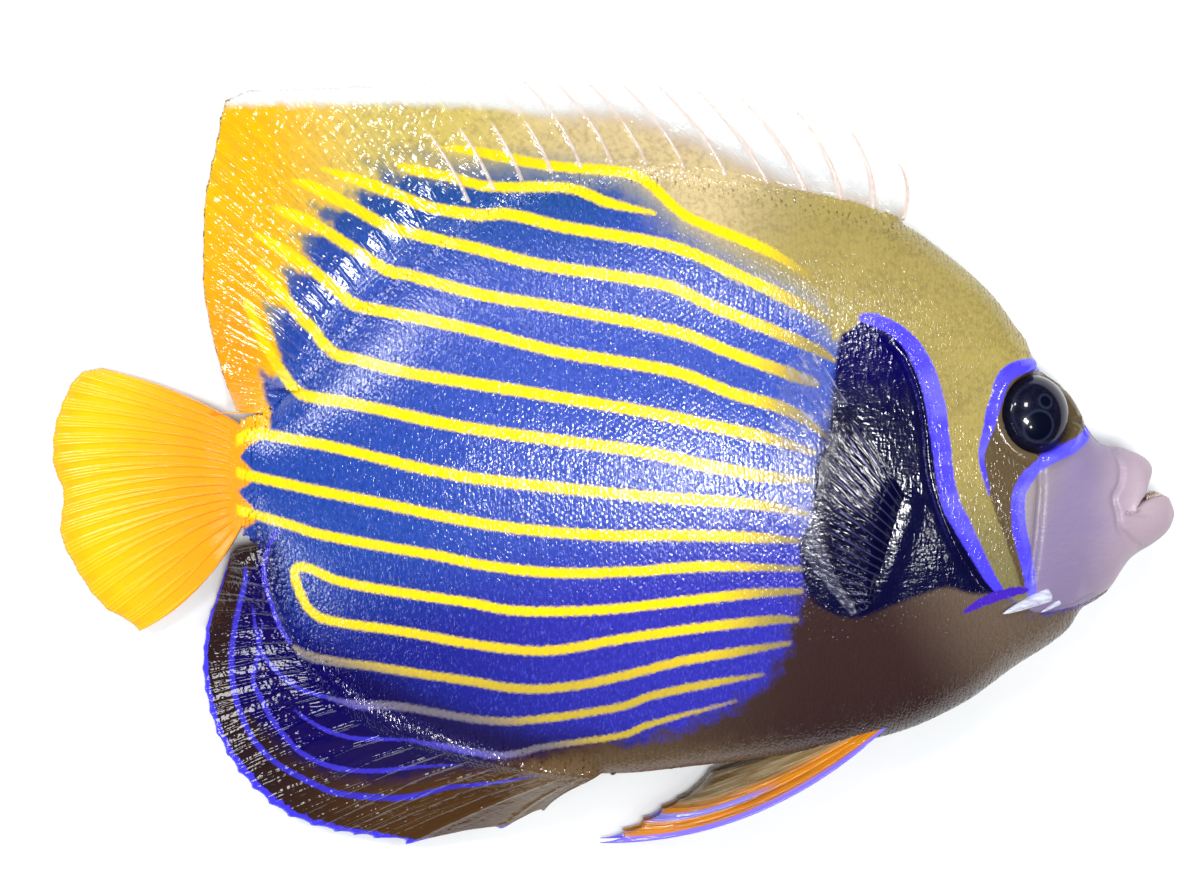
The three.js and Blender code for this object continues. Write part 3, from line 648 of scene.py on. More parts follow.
def carry(mesh, name, vectors):
    """Gives each point of a mesh three numbers that a finish can read."""
    attribute = mesh.attributes.new(name, "FLOAT_VECTOR", "POINT")
    attribute.data.foreach_set("vector", vectors.astype(np.float32).ravel())


def on_map(level, x, y):
    """A map's value at points between its cells."""
    i = np.clip((x - MAP_X[0]) / MAP_STEP, 0, len(MAP_X) - 1.001)
    j = np.clip((y - MAP_Y[0]) / MAP_STEP, 0, len(MAP_Y) - 1.001)
    i0, j0 = i.astype(int), j.astype(int)
    u, v = i - i0, j - j0
    low = level[i0, j0] * (1 - v) + level[i0, j0 + 1] * v
    high = level[i0 + 1, j0] * (1 - v) + level[i0 + 1, j0 + 1] * v
    return low * (1 - u) + high * u


# %% Making a mesh
def make_mesh(name, points, faces, uv, marked_at=None, smooth_faces=True):
    """A mesh from points in millimetres, faces of equal size and a place on the baking map per corner."""
    mesh = bpy.data.meshes.new(name)
    sides = faces.shape[1]
    mesh.vertices.add(len(points))
    mesh.vertices.foreach_set("co", (points * MM).astype(np.float32).ravel())
    mesh.loops.add(faces.size)
    mesh.loops.foreach_set("vertex_index", faces.astype(np.int32).ravel())
    mesh.polygons.add(len(faces))
    mesh.polygons.foreach_set("loop_start", np.arange(0, faces.size, sides, dtype=np.int32))
    mesh.polygons.foreach_set("use_smooth", np.full(len(faces), smooth_faces))
    mesh.update(calc_edges=True)
    layer = mesh.uv_layers.new(name="OFBake")
    layer.data.foreach_set("uv", uv.astype(np.float32).ravel())
    at = points if marked_at is None else marked_at
    for group, names in LEVEL_GROUPS.items():
        carry(mesh, group, np.column_stack([on_map(levels[n], at[:, 0], at[:, 1]) for n in names]))
    return mesh


def add_piece(name, mesh, material, slot, *replaced):
    """Puts a mesh in the scene as a piece that rides on the fish and stands for solids of the frame."""
    piece = bpy.data.objects.new(name, mesh)
    mesh.materials.append(material)
    scene.collection.objects.link(piece)
    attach(piece, "root")
    if replaced:
        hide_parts(*replaced)
    print(name, "has", len(mesh.polygons), "faces")
    return piece


def grid_faces(rows, columns, closed=False):
    """The four-sided faces of a grid of points, which may close on itself across its columns."""
    i = np.arange(rows - 1)[:, None]
    j = np.arange(columns if closed else columns - 1)[None, :]
    after = (j + 1) % columns
    a, b = i * columns + j, i * columns + after
    return np.stack([a, a + columns, b + columns, b], -1).reshape(-1, 4)


print("mesh helpers are ready")

# %% [markdown]
# ## Where the fins leave the body
#
# The median fins don't stand on the fish like cards. Flesh and scales climb onto their bases, so the
# thickness runs on from body to fin without a step. One function gives that shared thickness.

# %% The thickness that body and fins share
outline_x = np.arange(TAIL_END, NOSE_END, 1.2)
back_edge = [(x, float(back_line(x))) for x in outline_x]
belly_edge = [(x, float(belly_line(x))) for x in outline_x[::-1]]
levels["body"] = area_level(back_edge + belly_edge)


def fin_flesh(x, y):
    """Half the thickness that a fin's base has at a point of the side view."""
    away = on_map(levels["body"], x, y)
    tail, anal, dorsal = smooth((-48 - x) / 4), smooth((2 - x) / 5), smooth((46.5 - x) / 4)
    there = np.where(y > 12, dorsal, np.where(y < -12, anal, tail))
    return there * (0.28 + 1.75 * np.exp(-np.maximum(away, 0) / 4.5)) * smooth((away + 6) / 5.5)


def shared_half(x, y):
    """Half the thickness of body and fin together."""
    body = half_thickness(np.maximum(x, TAIL_END), y) * (x > TAIL_END - 0.01)
    return (body ** 3 + fin_flesh(x, y) ** 3) ** (1 / 3)


dorsal_base = shared_half(np.array([0.0]), np.array([44.9]))
print("half thickness at the dorsal base:", round(float(dorsal_base[0]), 2), "mm")

# %% [markdown]
# ## The skin
#
# One closed skin covers head, trunk and tail root, so no seam shows. It is a stack of rings. From the
# cheek forward the rings lean and turn into the outline of the open mouth, then roll over the lips
# and close inside it. Folds such as the gill cover are pushed in or out from this smooth start.

# %% Rings of the body
RING_POINTS = 336
MORPH_START = 72
MORPH_RINGS = 44
reference = np.linspace(-math.pi / 2, 3 * math.pi / 2, 4001)


def ring(x, turn):
    """Points of the section at station x, where turn goes round from the belly by the right flank."""
    up, out = np.sin(turn), np.cos(turn)
    wide = widest_height(x)
    reach = np.where(up > 0, back_line(x) - wide, wide - belly_line(x))
    sharp = np.where(up > 0, back_sharpness(x), belly_sharpness(x))
    half = half_width(x) * np.sign(out) * np.abs(out) ** (2 * sharp)
    return np.stack(np.broadcast_arrays(x, wide + reach * up, middle_height(x) + half), -1)


section = ring(np.full(reference.shape, 15.0), reference)
run = run_length(section)
turns = np.interp(np.linspace(0, run[-1], RING_POINTS, endpoint=False), run, reference)
stations = np.concatenate([np.arange(TAIL_END, 40, 0.7), np.arange(40, MORPH_START, 0.36), [MORPH_START]])
body_rings = ring(stations[:, None], turns[None, :])
print("rings:", len(stations), "of", RING_POINTS, "points")

# %% The mouth
# The outline of the open mouth on one side, from the middle of the upper lip by the corner to the
# middle of the lower lip, each point with its turn round the head in degrees.
MOUTH = [
    (90, 82.0, 0.75), (72, 81.75, -0.1), (54, 81.35, -1.1), (38, 81.0, -2.2), (22, 80.5, -3.5),
    (8, 79.1, -5.0), (-6, 77.7, -6.3), (-18, 79.1, -5.75), (-32, 81.1, -4.85), (-50, 83.1, -4.45),
    (-68, 84.45, -4.4), (-90, 85.1, -4.55),
]
MOUTH_MIDDLE = np.array([79.6, -4.6])
mouth_degrees, mouth_x, mouth_y = np.array(MOUTH[::-1]).T
mouth_line = profile(list(zip(mouth_degrees, mouth_x))), profile(list(zip(mouth_degrees, mouth_y)))
side_turn = np.degrees(np.arcsin(np.sin(turns)))
side = np.where(np.cos(turns) >= 0, 1.0, -1.0)
mouth = np.stack([axis(side_turn) for axis in mouth_line], -1)

# The outlines that the leaning rings follow above and below: the nose to the upper lip, and the chin
# round the front of the lower jaw.
upper = smooth_line([(72, float(back_line(72))), (74.5, 3.9), (78, 3.2), (81.2, 1.7), (82.0, 0.75)], 0.2)
lower = smooth_line([
    (72, float(belly_line(72))), (75.5, -18.8), (79.4, -13.4), (82.7, -11.1), (84.6, -9.1), (85.5, -7.6),
    (85.6, -6.4), (85.35, -5.3), (85.1, -4.55),
], 0.2)


def along(line, t):
    """The point of a line at a part of its length."""
    length = run_length(line)
    return np.stack([np.interp(t * length[-1], length, line[:, k]) for k in (0, 1)], -1)


# The leaning rings read the width of the body a little behind the tip of the nose.
SECTION_END, WIDTH_END = 85.5, 85.3
first = body_rings[-1]
fraction = (first[:, 1] - belly_line(MORPH_START)) / (back_line(MORPH_START) - belly_line(MORPH_START))
fraction = np.clip(fraction, 0, 1)[:, None]
morph = []
for s in np.linspace(0, 1, MORPH_RINGS + 1)[1:]:
    top, bottom = along(upper, np.array(s)), along(lower, np.array(s))
    chord = bottom + (top - bottom) * fraction
    last_chord = lower[-1] + (upper[-1] - lower[-1]) * fraction
    flat = chord + s ** 2.2 * (mouth - last_chord)
    x, y = flat[:, 0], flat[:, 1]
    depth = half_thickness(np.minimum(x, SECTION_END), y)
    edge = np.minimum(fraction, 1 - fraction)[:, 0]
    lip_depth = half_width(np.minimum(x, WIDTH_END)) * (edge * 4) ** 0.6 * s * 0.45
    depth = np.where(edge < 1e-6, 0, np.maximum(depth, lip_depth))
    morph.append(np.column_stack([x, y, middle_height(x) + side * depth]))
print("rings that turn into the mouth:", len(morph))

# %% The lips roll over and the mouth closes inside
grid = np.concatenate([body_rings, np.array(morph)])


def surface_normals(grid):
    """Outward normals of a grid of rings."""
    along_rings = np.gradient(grid, axis=0)
    round_rings = np.roll(grid, -1, axis=1) - np.roll(grid, 1, axis=1)
    return unit(np.cross(along_rings, round_rings))


def softened(rows, times):
    """Rings of vectors, evened out round the ring."""
    for _ in range(times):
        rows = (np.roll(rows, 1, axis=0) + 2 * rows + np.roll(rows, -1, axis=0)) / 4
    return rows


# Lines along which the skin is pushed in or out, in the side view
FREE_EDGE = [
    (41.5, 22.5), (44.6, 17.5), (46.6, 12.4), (47.6, 7), (48.1, 1.5), (49.1, -2.8), (51.1, -8), (54, -13.4),
    (57.6, -17.8),
]
gill_cover = area_level([*FREE_EDGE, (62, -17.8), (62, 22.5)])
# The other folds are lines: how far each stands out, how wide it is, and its points.
FOLDS = {
    "cheek groove": (-0.38, 0.55, [(56, -1.5), (57.5, -6.2), (58.8, -9.6), (60.1, -13), (61.4, -16.4)]),
    "muzzle line": (-0.04, 1.2, muzzle_line),
    "lip crease": (-0.5, 0.45, [
        (76.3, 3.1), (76.9, 0.6), (76.6, -1.8), (75.6, -3.8), (76.2, -6.2), (76.6, -8.3), (78.2, -10),
        (80.2, -11.6),
    ]),
    "chin line": (-0.35, 0.4, [
        (60.5, -19.9), (62.7, -20.7), (65.2, -20.9), (68.2, -20.4), (71.2, -19.6), (73.3, -18.8),
    ]),
    "wrist": (0.35, 1.6, [(44.5, -4.5), (43, -9), (41.5, -13.5), (39.2, -18.5)]),
}
fold_levels = {name: line_level(weighted(points, 0)) for name, (height, width, points) in FOLDS.items()}
EYE_PLACE = np.array([64, 9])
EYE_AXES = (5.6, 5.9, 4)
EYE_BULGE = 1.7
EYE_RADIUS = 5.7
SOCKET_DEPTH = 4.2
NOSTRILS = [(70.4, 7.3, 0.55), (71.6, 5.9, 0.4)]


def bell(distance, width):
    return np.exp(-((distance / width) ** 2))


def eye_reach(x, y):
    """How far a point of the side view is from the middle of the eye: 1 at the edge of the eyeball."""
    return np.hypot((x - EYE_PLACE[0]) / EYE_AXES[0], (y - EYE_PLACE[1]) / EYE_AXES[1])


def folded(x, y):
    """How far the skin stands out (+) or in (-) at a point of the side view, in millimetres."""
    inside = -on_map(gill_cover, x, y)
    ends = smooth((y + 18.5) / 5) * smooth((22.5 - y) / 6) * smooth((x - 40) / 3)
    push = 0.62 * smooth(inside / 0.5 + 0.4) * (1 - smooth((inside - 0.6) / 6)) * ends
    push -= 0.75 * bell(inside + 0.75, 0.6) * ends
    for name, (height, width, _) in FOLDS.items():
        push += height * bell(on_map(fold_levels[name], x, y), width)
    away = eye_reach(x, y)
    push += 0.42 * bell((away - 1.17) * EYE_RADIUS, 0.75) - 0.3 * bell((away - 1.5) * EYE_RADIUS, 1.0)
    push -= SOCKET_DEPTH * smooth((1.06 - away) * 5)
    for nx, ny, radius in NOSTRILS:
        reach = np.hypot(x - nx, y - ny)
        push += 0.16 * bell(reach - 1.5 * radius, 0.35) - 0.8 * smooth((1.15 * radius - reach) / 0.35)
    return push


SKIN_DEPTH = 0.1
plain_normals = surface_normals(grid)
push = folded(grid[..., 0], grid[..., 1]) - SKIN_DEPTH
lobes = np.zeros(len(grid))
count = np.arange(MORPH_RINGS)
lobes[-MORPH_RINGS:] = 0.42 * bell(count - 0.8 * MORPH_RINGS, 0.17 * MORPH_RINGS)
push += lobes[:, None]
# The sharp back and belly lines and the very front stay where they are.
edge_part = np.abs(np.cos(turns))[None, :]
push = np.where(edge_part < 0.15, push * edge_part / 0.15, push)
skin_grid = grid + plain_normals * push[..., None]
print("deepest fold", round(float(push.min()), 2), "mm, highest", round(float(push.max()), 2), "mm")

# %% The rolled lips and the inside of the mouth
lip_loop = skin_grid[-1]
forward = unit(softened(skin_grid[-1] - skin_grid[-3], 12))
round_loop = softened(np.roll(lip_loop, -1, axis=0) - np.roll(lip_loop, 1, axis=0), 12)
outward = unit(np.cross(forward, round_loop))
corner = smooth(np.abs(side_turn + 6) / 30)
radius = (0.25 + 0.5 * corner)[:, None]
lip_rings = []
for angle in np.radians(np.arange(18, 181, 18)):
    lip_rings.append(lip_loop + radius * (math.sin(angle) * forward - (1 - math.cos(angle)) * outward))
inner = np.array([78.2, -5.2, float(middle_height(78))])
hollow = []
for t in np.linspace(0, 1, 9)[1:-1]:
    hollow.append(lip_rings[-1] + (inner - lip_rings[-1]) * smooth(t) * 0.98)
skin_grid = np.concatenate([skin_grid, lip_rings, hollow])
skin_grid[..., 2] = np.maximum(skin_grid[..., 2], 0)
rows = len(skin_grid)
print("skin rings:", rows)

# %% The skin as a mesh
tail_pole = skin_grid[0].mean(0) + np.array([-0.6, 0, 0])
points = np.vstack([skin_grid.reshape(-1, 3), tail_pole, inner])
faces = grid_faces(rows, RING_POINTS, closed=True)
last_row = (rows - 1) * RING_POINTS
step = np.arange(RING_POINTS)
after = (step + 1) % RING_POINTS
tail_cap = np.column_stack([np.full(RING_POINTS, rows * RING_POINTS), step, after])
mouth_cap = np.column_stack([np.full(RING_POINTS, rows * RING_POINTS + 1), last_row + after, last_row + step])
u = np.arange(rows) / rows * 0.96 + 0.02
v = np.arange(RING_POINTS + 1) / RING_POINTS * 0.98 + 0.01
i, j = np.divmod(np.arange(len(faces)), RING_POINTS)
quads_uv = quad_uv(u, v, i, j)
triangles = np.concatenate([faces[:, [0, 1, 2]], faces[:, [0, 2, 3]], tail_cap, mouth_cap])


def cap_uv(middle, edge, first, second):
    """Places on the baking map for a fan of triangles."""
    flat = np.ones(RING_POINTS)
    corners = [(middle * flat, 0.5 * flat), (edge * flat, first), (edge * flat, second)]
    return np.stack([np.column_stack(pair) for pair in corners], 1)


tail_uv = cap_uv(0.005, 0.02, v[:-1], v[1:])
mouth_uv = cap_uv(0.995, 0.98, v[1:], v[:-1])
skin_uv = np.concatenate([quads_uv[:, [0, 1, 2]], quads_uv[:, [0, 2, 3]], tail_uv, mouth_uv])
skin_mesh = make_mesh("skin", points, triangles, skin_uv.reshape(-1, 2))
in_mouth = np.ones(len(points))
depth_in = np.concatenate([np.zeros(len(grid)), np.linspace(0, 1, rows - len(grid))])
in_mouth[:rows * RING_POINTS] = np.repeat(depth_in, RING_POINTS)
in_mouth[rows * RING_POINTS] = 0
attribute = skin_mesh.attributes.new("in_mouth", "FLOAT", "POINT")
attribute.data.foreach_set("value", in_mouth.astype(np.float32))
print("skin triangles:", len(triangles))

# %% [markdown]
# ## The paint
#
# The real colours sit in the skin under clear scales and a film of slime. The ground is a deep blue
# that is darker towards the tail and more violet below, with fine upright flecks. Areas of tan, gold,
# olive, brown and grey lie over it, then the stripes and lines. Their edges follow the levels, moved
# a little by fine noise, because each scale takes the colour of its own root. Every value below is a
# linear red, green and blue.

# %% Colours
COLOURS = {
    "blue rear": (0.018, 0.06, 0.33),
    "blue middle": (0.04, 0.08, 0.42),
    "blue low": (0.035, 0.032, 0.4),
    "blue low rear": (0.01, 0.014, 0.2),
    "blue fleck": (0.11, 0.14, 0.66),
    "blue depth": (0.012, 0.02, 0.16),
    "teal": (0.013, 0.068, 0.24),
    "dusk": (0.26, 0.26, 0.235),
    "dusk rear": (0.3, 0.28, 0.14),
    "yellow": (0.92, 0.66, 0.006),
    "olive stripe": (0.3, 0.235, 0.07),
    "low stripe": (0.46, 0.34, 0.05),
    "grey stripe": (0.17, 0.15, 0.19),
    "tan": (0.62, 0.49, 0.25),
    "tan front": (0.28, 0.23, 0.12),
    "pale gold": (0.58, 0.46, 0.12),
    "gold": (0.82, 0.44, 0.003),
    "orange": (0.95, 0.33, 0.01),
    "tail edge": (0.95, 0.52, 0.005),
    "nape": (0.36, 0.285, 0.09),
    "forehead": (0.4, 0.32, 0.09),
    "cover": (0.21, 0.18, 0.08),
    "cheek": (0.11, 0.076, 0.038),
    "muzzle": (0.235, 0.18, 0.32),
    "muzzle olive": (0.28, 0.235, 0.22),
    "lip": (0.42, 0.32, 0.38),
    "mouth": (0.3, 0.11, 0.11),
    "line": (0.075, 0.055, 0.9),
    "line pale": (0.14, 0.12, 1.0),
    "violet": (0.06, 0.02, 0.456),
    "fin line": (0.045, 0.035, 0.55),
    "mask top": (0.002, 0.001, 0.07),
    "mask low": (0.003, 0.003, 0.03),
    "throat": (0.135, 0.095, 0.068),
    "belly": (0.04, 0.02, 0.019),
    "belly rear": (0.085, 0.055, 0.038),
    "belly edge": (0.13, 0.08, 0.04),
    "margin": (0.9, 0.94, 0.97),
    "anal": (0.004, 0.002, 0.085),
    "anal front": (0.014, 0.01, 0.07),
    "rim": (0.022, 0.011, 0.012),
    "rim front": (0.075, 0.034, 0.01),
    "fin edge blue": (0.06, 0.045, 0.8),
}


def blend(colour, name, mask):
    """Lays a named colour, or a ready one, over another where the mask is 1."""
    paint = COLOURS[name] if isinstance(name, str) else name
    return colour.finish.mix(mask, colour, paint)


print("colours:", len(COLOURS))


# %% The blue ground and the stripes
def blue_ground(finish, grain, mottle):
    """The blue of the flank, with the navy of the anal fin and the dusk under the back."""
    x, y = finish.axis(0), finish.axis(1)
    ground = finish.mix((x + y * 0.35).ramp(-45, 0), COLOURS["blue rear"], COLOURS["blue middle"])
    ground = blend(ground, "teal", y.ramp(24, 46) * (1 - x.ramp(-5, 15)))
    low = finish.mix((x + y * 0.4).ramp(-50, 0), COLOURS["blue low rear"], COLOURS["blue low"])
    ground = blend(ground, low, (-y + x * 0.2).ramp(2, 22))
    upright = finish.noise((0.3, 0.8, 0.6), 2)
    ground = blend(ground, "blue fleck", upright.ramp(0.52, 0.78, 0, 0.4))
    ground = blend(ground, "blue depth", (grain * 0.5 + upright * 0.5).ramp(0.52, 0.28, 0, 0.5))
    navy = finish.mix((x - y * 0.5).ramp(-30, 0), COLOURS["anal"], COLOURS["anal front"])
    ground = blend(ground, navy, (finish.level("low") + mottle * 2).ramp(3.6, -2.6))
    dusk = finish.mix((x + y * 0.2).ramp(-26, -2), COLOURS["dusk rear"], COLOURS["dusk"])
    near_back = (finish.level("back") + mottle * 4).ramp(0.4, 5.4, 0.85, 0) * y.ramp(13, 24)
    return blend(ground, dusk, near_back)


def stripe_colour(finish):
    """Yellow, going grey and then blue towards the anal fin, and olive at the shoulder."""
    x, y = finish.axis(0), finish.axis(1)
    lower_rear = x + y * 2.8
    stripe = finish.mix(lower_rear.ramp(-148, -130), COLOURS["fin line"], COLOURS["grey stripe"])
    low_yellow = finish.mix((-y).ramp(20, 34, 0, 0.8), COLOURS["yellow"], COLOURS["low stripe"])
    stripe = blend(stripe, low_yellow, lower_rear.ramp(-128, -110))
    return blend(stripe, "olive stripe", (x - y * 0.12).ramp(17, 29))


# %% Gold above, brown below
def gold_colour(finish, grain, cloud):
    """The tan back, the gold rear of the dorsal fin and the orange tail, as one run of colour."""
    x, y = finish.axis(0), finish.axis(1)
    gold = finish.mix((x + y * 0.1).ramp(-48, -28), COLOURS["gold"], COLOURS["pale gold"])
    gold = blend(gold, "tan", (x + y * 0.1).ramp(-20, 6))
    gold = blend(gold, "tan front", x.ramp(14, 40))
    gold = blend(gold, "nape", (x - y * 0.75).ramp(-16, 6))
    low_orange = (-x).ramp(50, 56) * (1 - y.ramp(14, 44))
    gold = blend(gold, "orange", low_orange)
    gold = blend(gold, "tail edge", (-x + cloud * 5 + abs(y) * 0.15).ramp(64, 84))
    worn = (grain * 0.6 + cloud * 0.4).ramp(0.44, 0.66, 0, 0.75) * x.ramp(-54, -30, 0.3, 1)
    return blend(gold, finish.mix(0.5, gold, (0.2, 0.14, 0.08)), worn)


def belly_colour(finish, mottle):
    x, y = finish.axis(0), finish.axis(1)
    brown = finish.mix(x.ramp(-4, 34), COLOURS["belly rear"], COLOURS["belly"])
    brown = blend(brown, "throat", (x + y * 0.6).ramp(26, 46))
    brown = blend(brown, "belly edge", (-y + mottle * 4).ramp(38, 46) * (1 - x.ramp(18, 36)))
    return brown


# %% The head
def head_colour(finish, grain, cloud):
    """Olive above, darker on the gill cover, with fine brown grain."""
    x, y = finish.axis(0), finish.axis(1)
    head = finish.mix(x.ramp(46, 64), COLOURS["nape"], COLOURS["forehead"])
    head = blend(head, "cover", (x - y * 0.35).ramp(44, 50) * (-y).ramp(-3, 14))
    shade = (grain * 0.6 + cloud * 0.4).ramp(0.42, 0.68, 0, 0.55)
    return blend(head, finish.mix(0.5, head, (0.08, 0.06, 0.03)), shade)


def muzzle_colour(finish, grain, cloud):
    """Lilac with olive at its rear upper corner, and paler, pinker lips."""
    x, y = finish.axis(0), finish.axis(1)
    muzzle = finish.mix((x - y * 0.35).ramp(61, 70), COLOURS["muzzle olive"], COLOURS["muzzle"])
    muzzle = blend(muzzle, "lip", (x - y * 0.1 + cloud * 3 - 1.5).ramp(70, 82))
    shade = (cloud * 0.6 + grain * 0.4).ramp(0.4, 0.7, 0, 0.3)
    return blend(muzzle, finish.mix(0.5, muzzle, COLOURS["muzzle olive"]), shade)


# %% One paint for skin, scales and fins
def painted(finish, jitter=0.15):
    """The colour of the fish at any point, from its levels."""
    x, y = finish.axis(0), finish.axis(1)
    cloud = finish.noise((9, 5, 9), 3)
    grain = finish.noise(0.8, 2)
    mottle = finish.noise(2.2, 2) - 0.5
    wobble = (finish.noise(0.55, 1) - 0.5) * jitter * 2

    def inside(name, softness=0.3):
        return (finish.level(name) + wobble).within(softness)

    rear_fin = y.ramp(10, 20) * (1 - x.ramp(-34, -16))
    near_stripe = finish.level("stripe").ramp(0, 2.2, 1, 0) * ((-x).ramp(46, 54) * 2.2 + rear_fin * 4)
    back_level = finish.level("back") + wobble + mottle * rear_fin * 7 - near_stripe
    back = 1 - (back_level / (x.ramp(-34, -20, 0.5, 2.4) + rear_fin * 1.6)).ramp(-1, 1)
    colour = blend(blue_ground(finish, grain, mottle), gold_colour(finish, grain, cloud), back)
    rim = finish.mix((x - y * 0.3).ramp(-42, -12), COLOURS["rim"], COLOURS["rim front"])
    below = (-y).ramp(36, 42)
    rim_level = finish.level("rim") + wobble - below * 3 + mottle * below * 2
    rim_mask = (rim_level / (below * 1.5 + 0.6)).ramp(-1, 1, 1, 0)
    colour = blend(colour, rim, rim_mask * (1 - back))
    colour = blend(colour, belly_colour(finish, mottle), (finish.level("belly") + mottle * 5).within(1.6))
    fade = 1 - rear_fin * (-finish.level("back")).ramp(3, 13, 0, 0.85)
    colour = blend(colour, stripe_colour(finish), inside("stripe") * fade * x.ramp(-56.2, -55.4))
    colour = blend(colour, "mask low", inside("mask", 0.5))
    colour = blend(colour, "mask top", inside("mask", 0.5) * y.ramp(8, 18))
    under_throat = (finish.level("belly") + wobble * 0.5).within(0.5) * (x - 52).ramp(0, 8)
    colour = blend(colour, head_colour(finish, grain, cloud), inside("head", 0.2) * (1 - under_throat))
    colour = blend(colour, "cheek", inside("cheek", 0.2))
    colour = blend(colour, muzzle_colour(finish, grain, cloud), inside("muzzle", 0.2))
    line = finish.mix(cloud.ramp(0.4, 0.65), COLOURS["line"], COLOURS["line pale"])
    line = blend(line, "fin line", (-x).ramp(0, 10))
    colour = blend(colour, line, inside("blue", 0.15))
    return blend(colour, "violet", inside("violet", 0.15))


print("the paint is ready")

# %% [markdown]
# ## The finish of the skin
#
# Wet fish skin is a softly coloured layer under a thin clear film. The film is smooth but finely
# wrinkled, so that highlights split into sparkles: a low Roughness with a bump of wrinkles. Muzzle and
# lips are duller, and have no visible scales, only fine pores and creases, which are bump alone.

# %% Skin finish
skin_finish = Finish("wet_skin")
colour = painted(skin_finish)
inside_mouth = skin_finish.node("ShaderNodeAttribute", {"attribute_name": "in_mouth"}, {}, "Fac")
colour = skin_finish.mix(inside_mouth.ramp(0.25, 0.8), colour, COLOURS["mouth"])
pores = skin_finish.pebbles(0.55).ramp(0, 0.7) * 0.5 + skin_finish.noise(0.3, 2) * 0.5
creases = skin_finish.noise((2.4, 0.7, 1.2), 2)
in_mask = skin_finish.level("mask").within(1.0)
folds = skin_finish.noise(5, 1).ramp(0.42, 0.62, 0.35, 1)
membrane = abs(skin_finish.noise((0.8, 2.2, 1.4), 1) - 0.5).ramp(0.05, 0.3) * folds
relief = skin_finish.bump(pores, 0.03)
relief = skin_finish.bump(creases, 0.07, below=relief)
relief = skin_finish.bump(membrane * in_mask, 0.06, below=relief)
dull = skin_finish.level("muzzle").within(0.5) * 0.26
skin_finish.surface(
    Base_Color=colour, Roughness=skin_finish.noise(1.5, 2).ramp(0.2, 0.8, 0.1, 0.2) + dull, Normal=relief,
    IOR=1.6, Specular_IOR_Level=0.5,
)
SKIN_NODES = ["head", "trunk", "peduncle", "upper_jaw", "lower_jaw", "gill_cover_right", "gill_cover_left"]
add_piece("skin", skin_mesh, skin_finish.material, "body_skin", *SKIN_NODES)

# %% [markdown]
# ## The scales
#
# The scales are small and rough, about as wide as a stripe's edge is soft. They overlap like roof
# tiles, each with its root sunk towards the head and its free edge towards the tail. They are solid
# plates: a fan that rises to a round rear edge, with a rim that goes down into the skin. They stand
# in rows that are offset by half a scale, and shrink towards the tail, the cheek and the fins.

# %% One scale
RIM_STEPS = np.radians([-145, -88, -42, 0, 42, 88, 145])
scale_u = np.where(np.abs(RIM_STEPS) > 1.9, 0.45, 0.62) * np.cos(RIM_STEPS) + 0.02
scale_v = 0.6 * np.sin(RIM_STEPS)
rim_points = len(RIM_STEPS)
rise = 0.05 * smooth((scale_u + 0.35) / 0.8) - 0.03
scale_top = np.column_stack([scale_u, scale_v, rise])
scale_foot = np.column_stack([scale_u * 0.9 - 0.02, scale_v * 0.92, rise - 0.16])
scale_middle = np.array([[0.05, 0, 0.028]])
SCALE = np.vstack([scale_middle, scale_top, scale_foot])
k = np.arange(rim_points)
k2 = (k + 1) % rim_points
top, next_top = 1 + k, 1 + k2
foot, next_foot = top + rim_points, next_top + rim_points
scale_faces = np.concatenate([
    np.column_stack([np.zeros(rim_points, int), top, next_top]),
    np.column_stack([top, foot, next_top]),
    np.column_stack([next_top, foot, next_foot]),
    np.column_stack([np.full(rim_points - 2, foot[0]), next_foot[1:-1], foot[1:-1]]),
])
print("triangles in a scale:", len(scale_faces))


# %% Placing scales
def swollen(x, turn):
    """A point of the body, or of the fin base where that is thicker."""
    points = ring(x, turn)
    points[..., 2] = middle_height(x) + np.sign(np.cos(turn)) * shared_half(points[..., 0], points[..., 1])
    return points


def body_frame(x, turn):
    """The point of the skin at a station and a turn, with its outward normal and its run to the tail."""
    d = 0.05
    here = swollen(x, turn)
    to_tail = swollen(x - d, turn) - swollen(x + d, turn)
    round_it = swollen(x, turn + 0.002) - swollen(x, turn - 0.002)
    return here, unit(np.cross(round_it, to_tail)), unit(to_tail)


def scale_rows(start, end, pitch):
    """Stations and turns of scales whose rows are offset by half a scale."""
    fine = np.linspace(-math.pi / 2 + 0.02, math.pi / 2 - 0.02, 700)
    found = []
    x, odd = start, False
    while x < end:
        size = float(pitch(x))
        for s in (1, -1):
            turn = fine if s > 0 else math.pi - fine
            line = ring(np.full(fine.shape, x), turn)
            run = run_length(line)
            run -= np.interp(0, fine, run)
            first = math.ceil(run[0] / size)
            marks = (np.arange(first, math.floor(run[-1] / size) + 1) + (0.5 if odd else 0.0)) * size
            marks = marks[(marks > run[0]) & (marks < run[-1])]
            one = np.ones(len(marks))
            found.append(np.column_stack([x * one, np.interp(marks, run, turn), size * one]))
        x += size * 0.86
        odd = not odd
    return np.vstack(found)


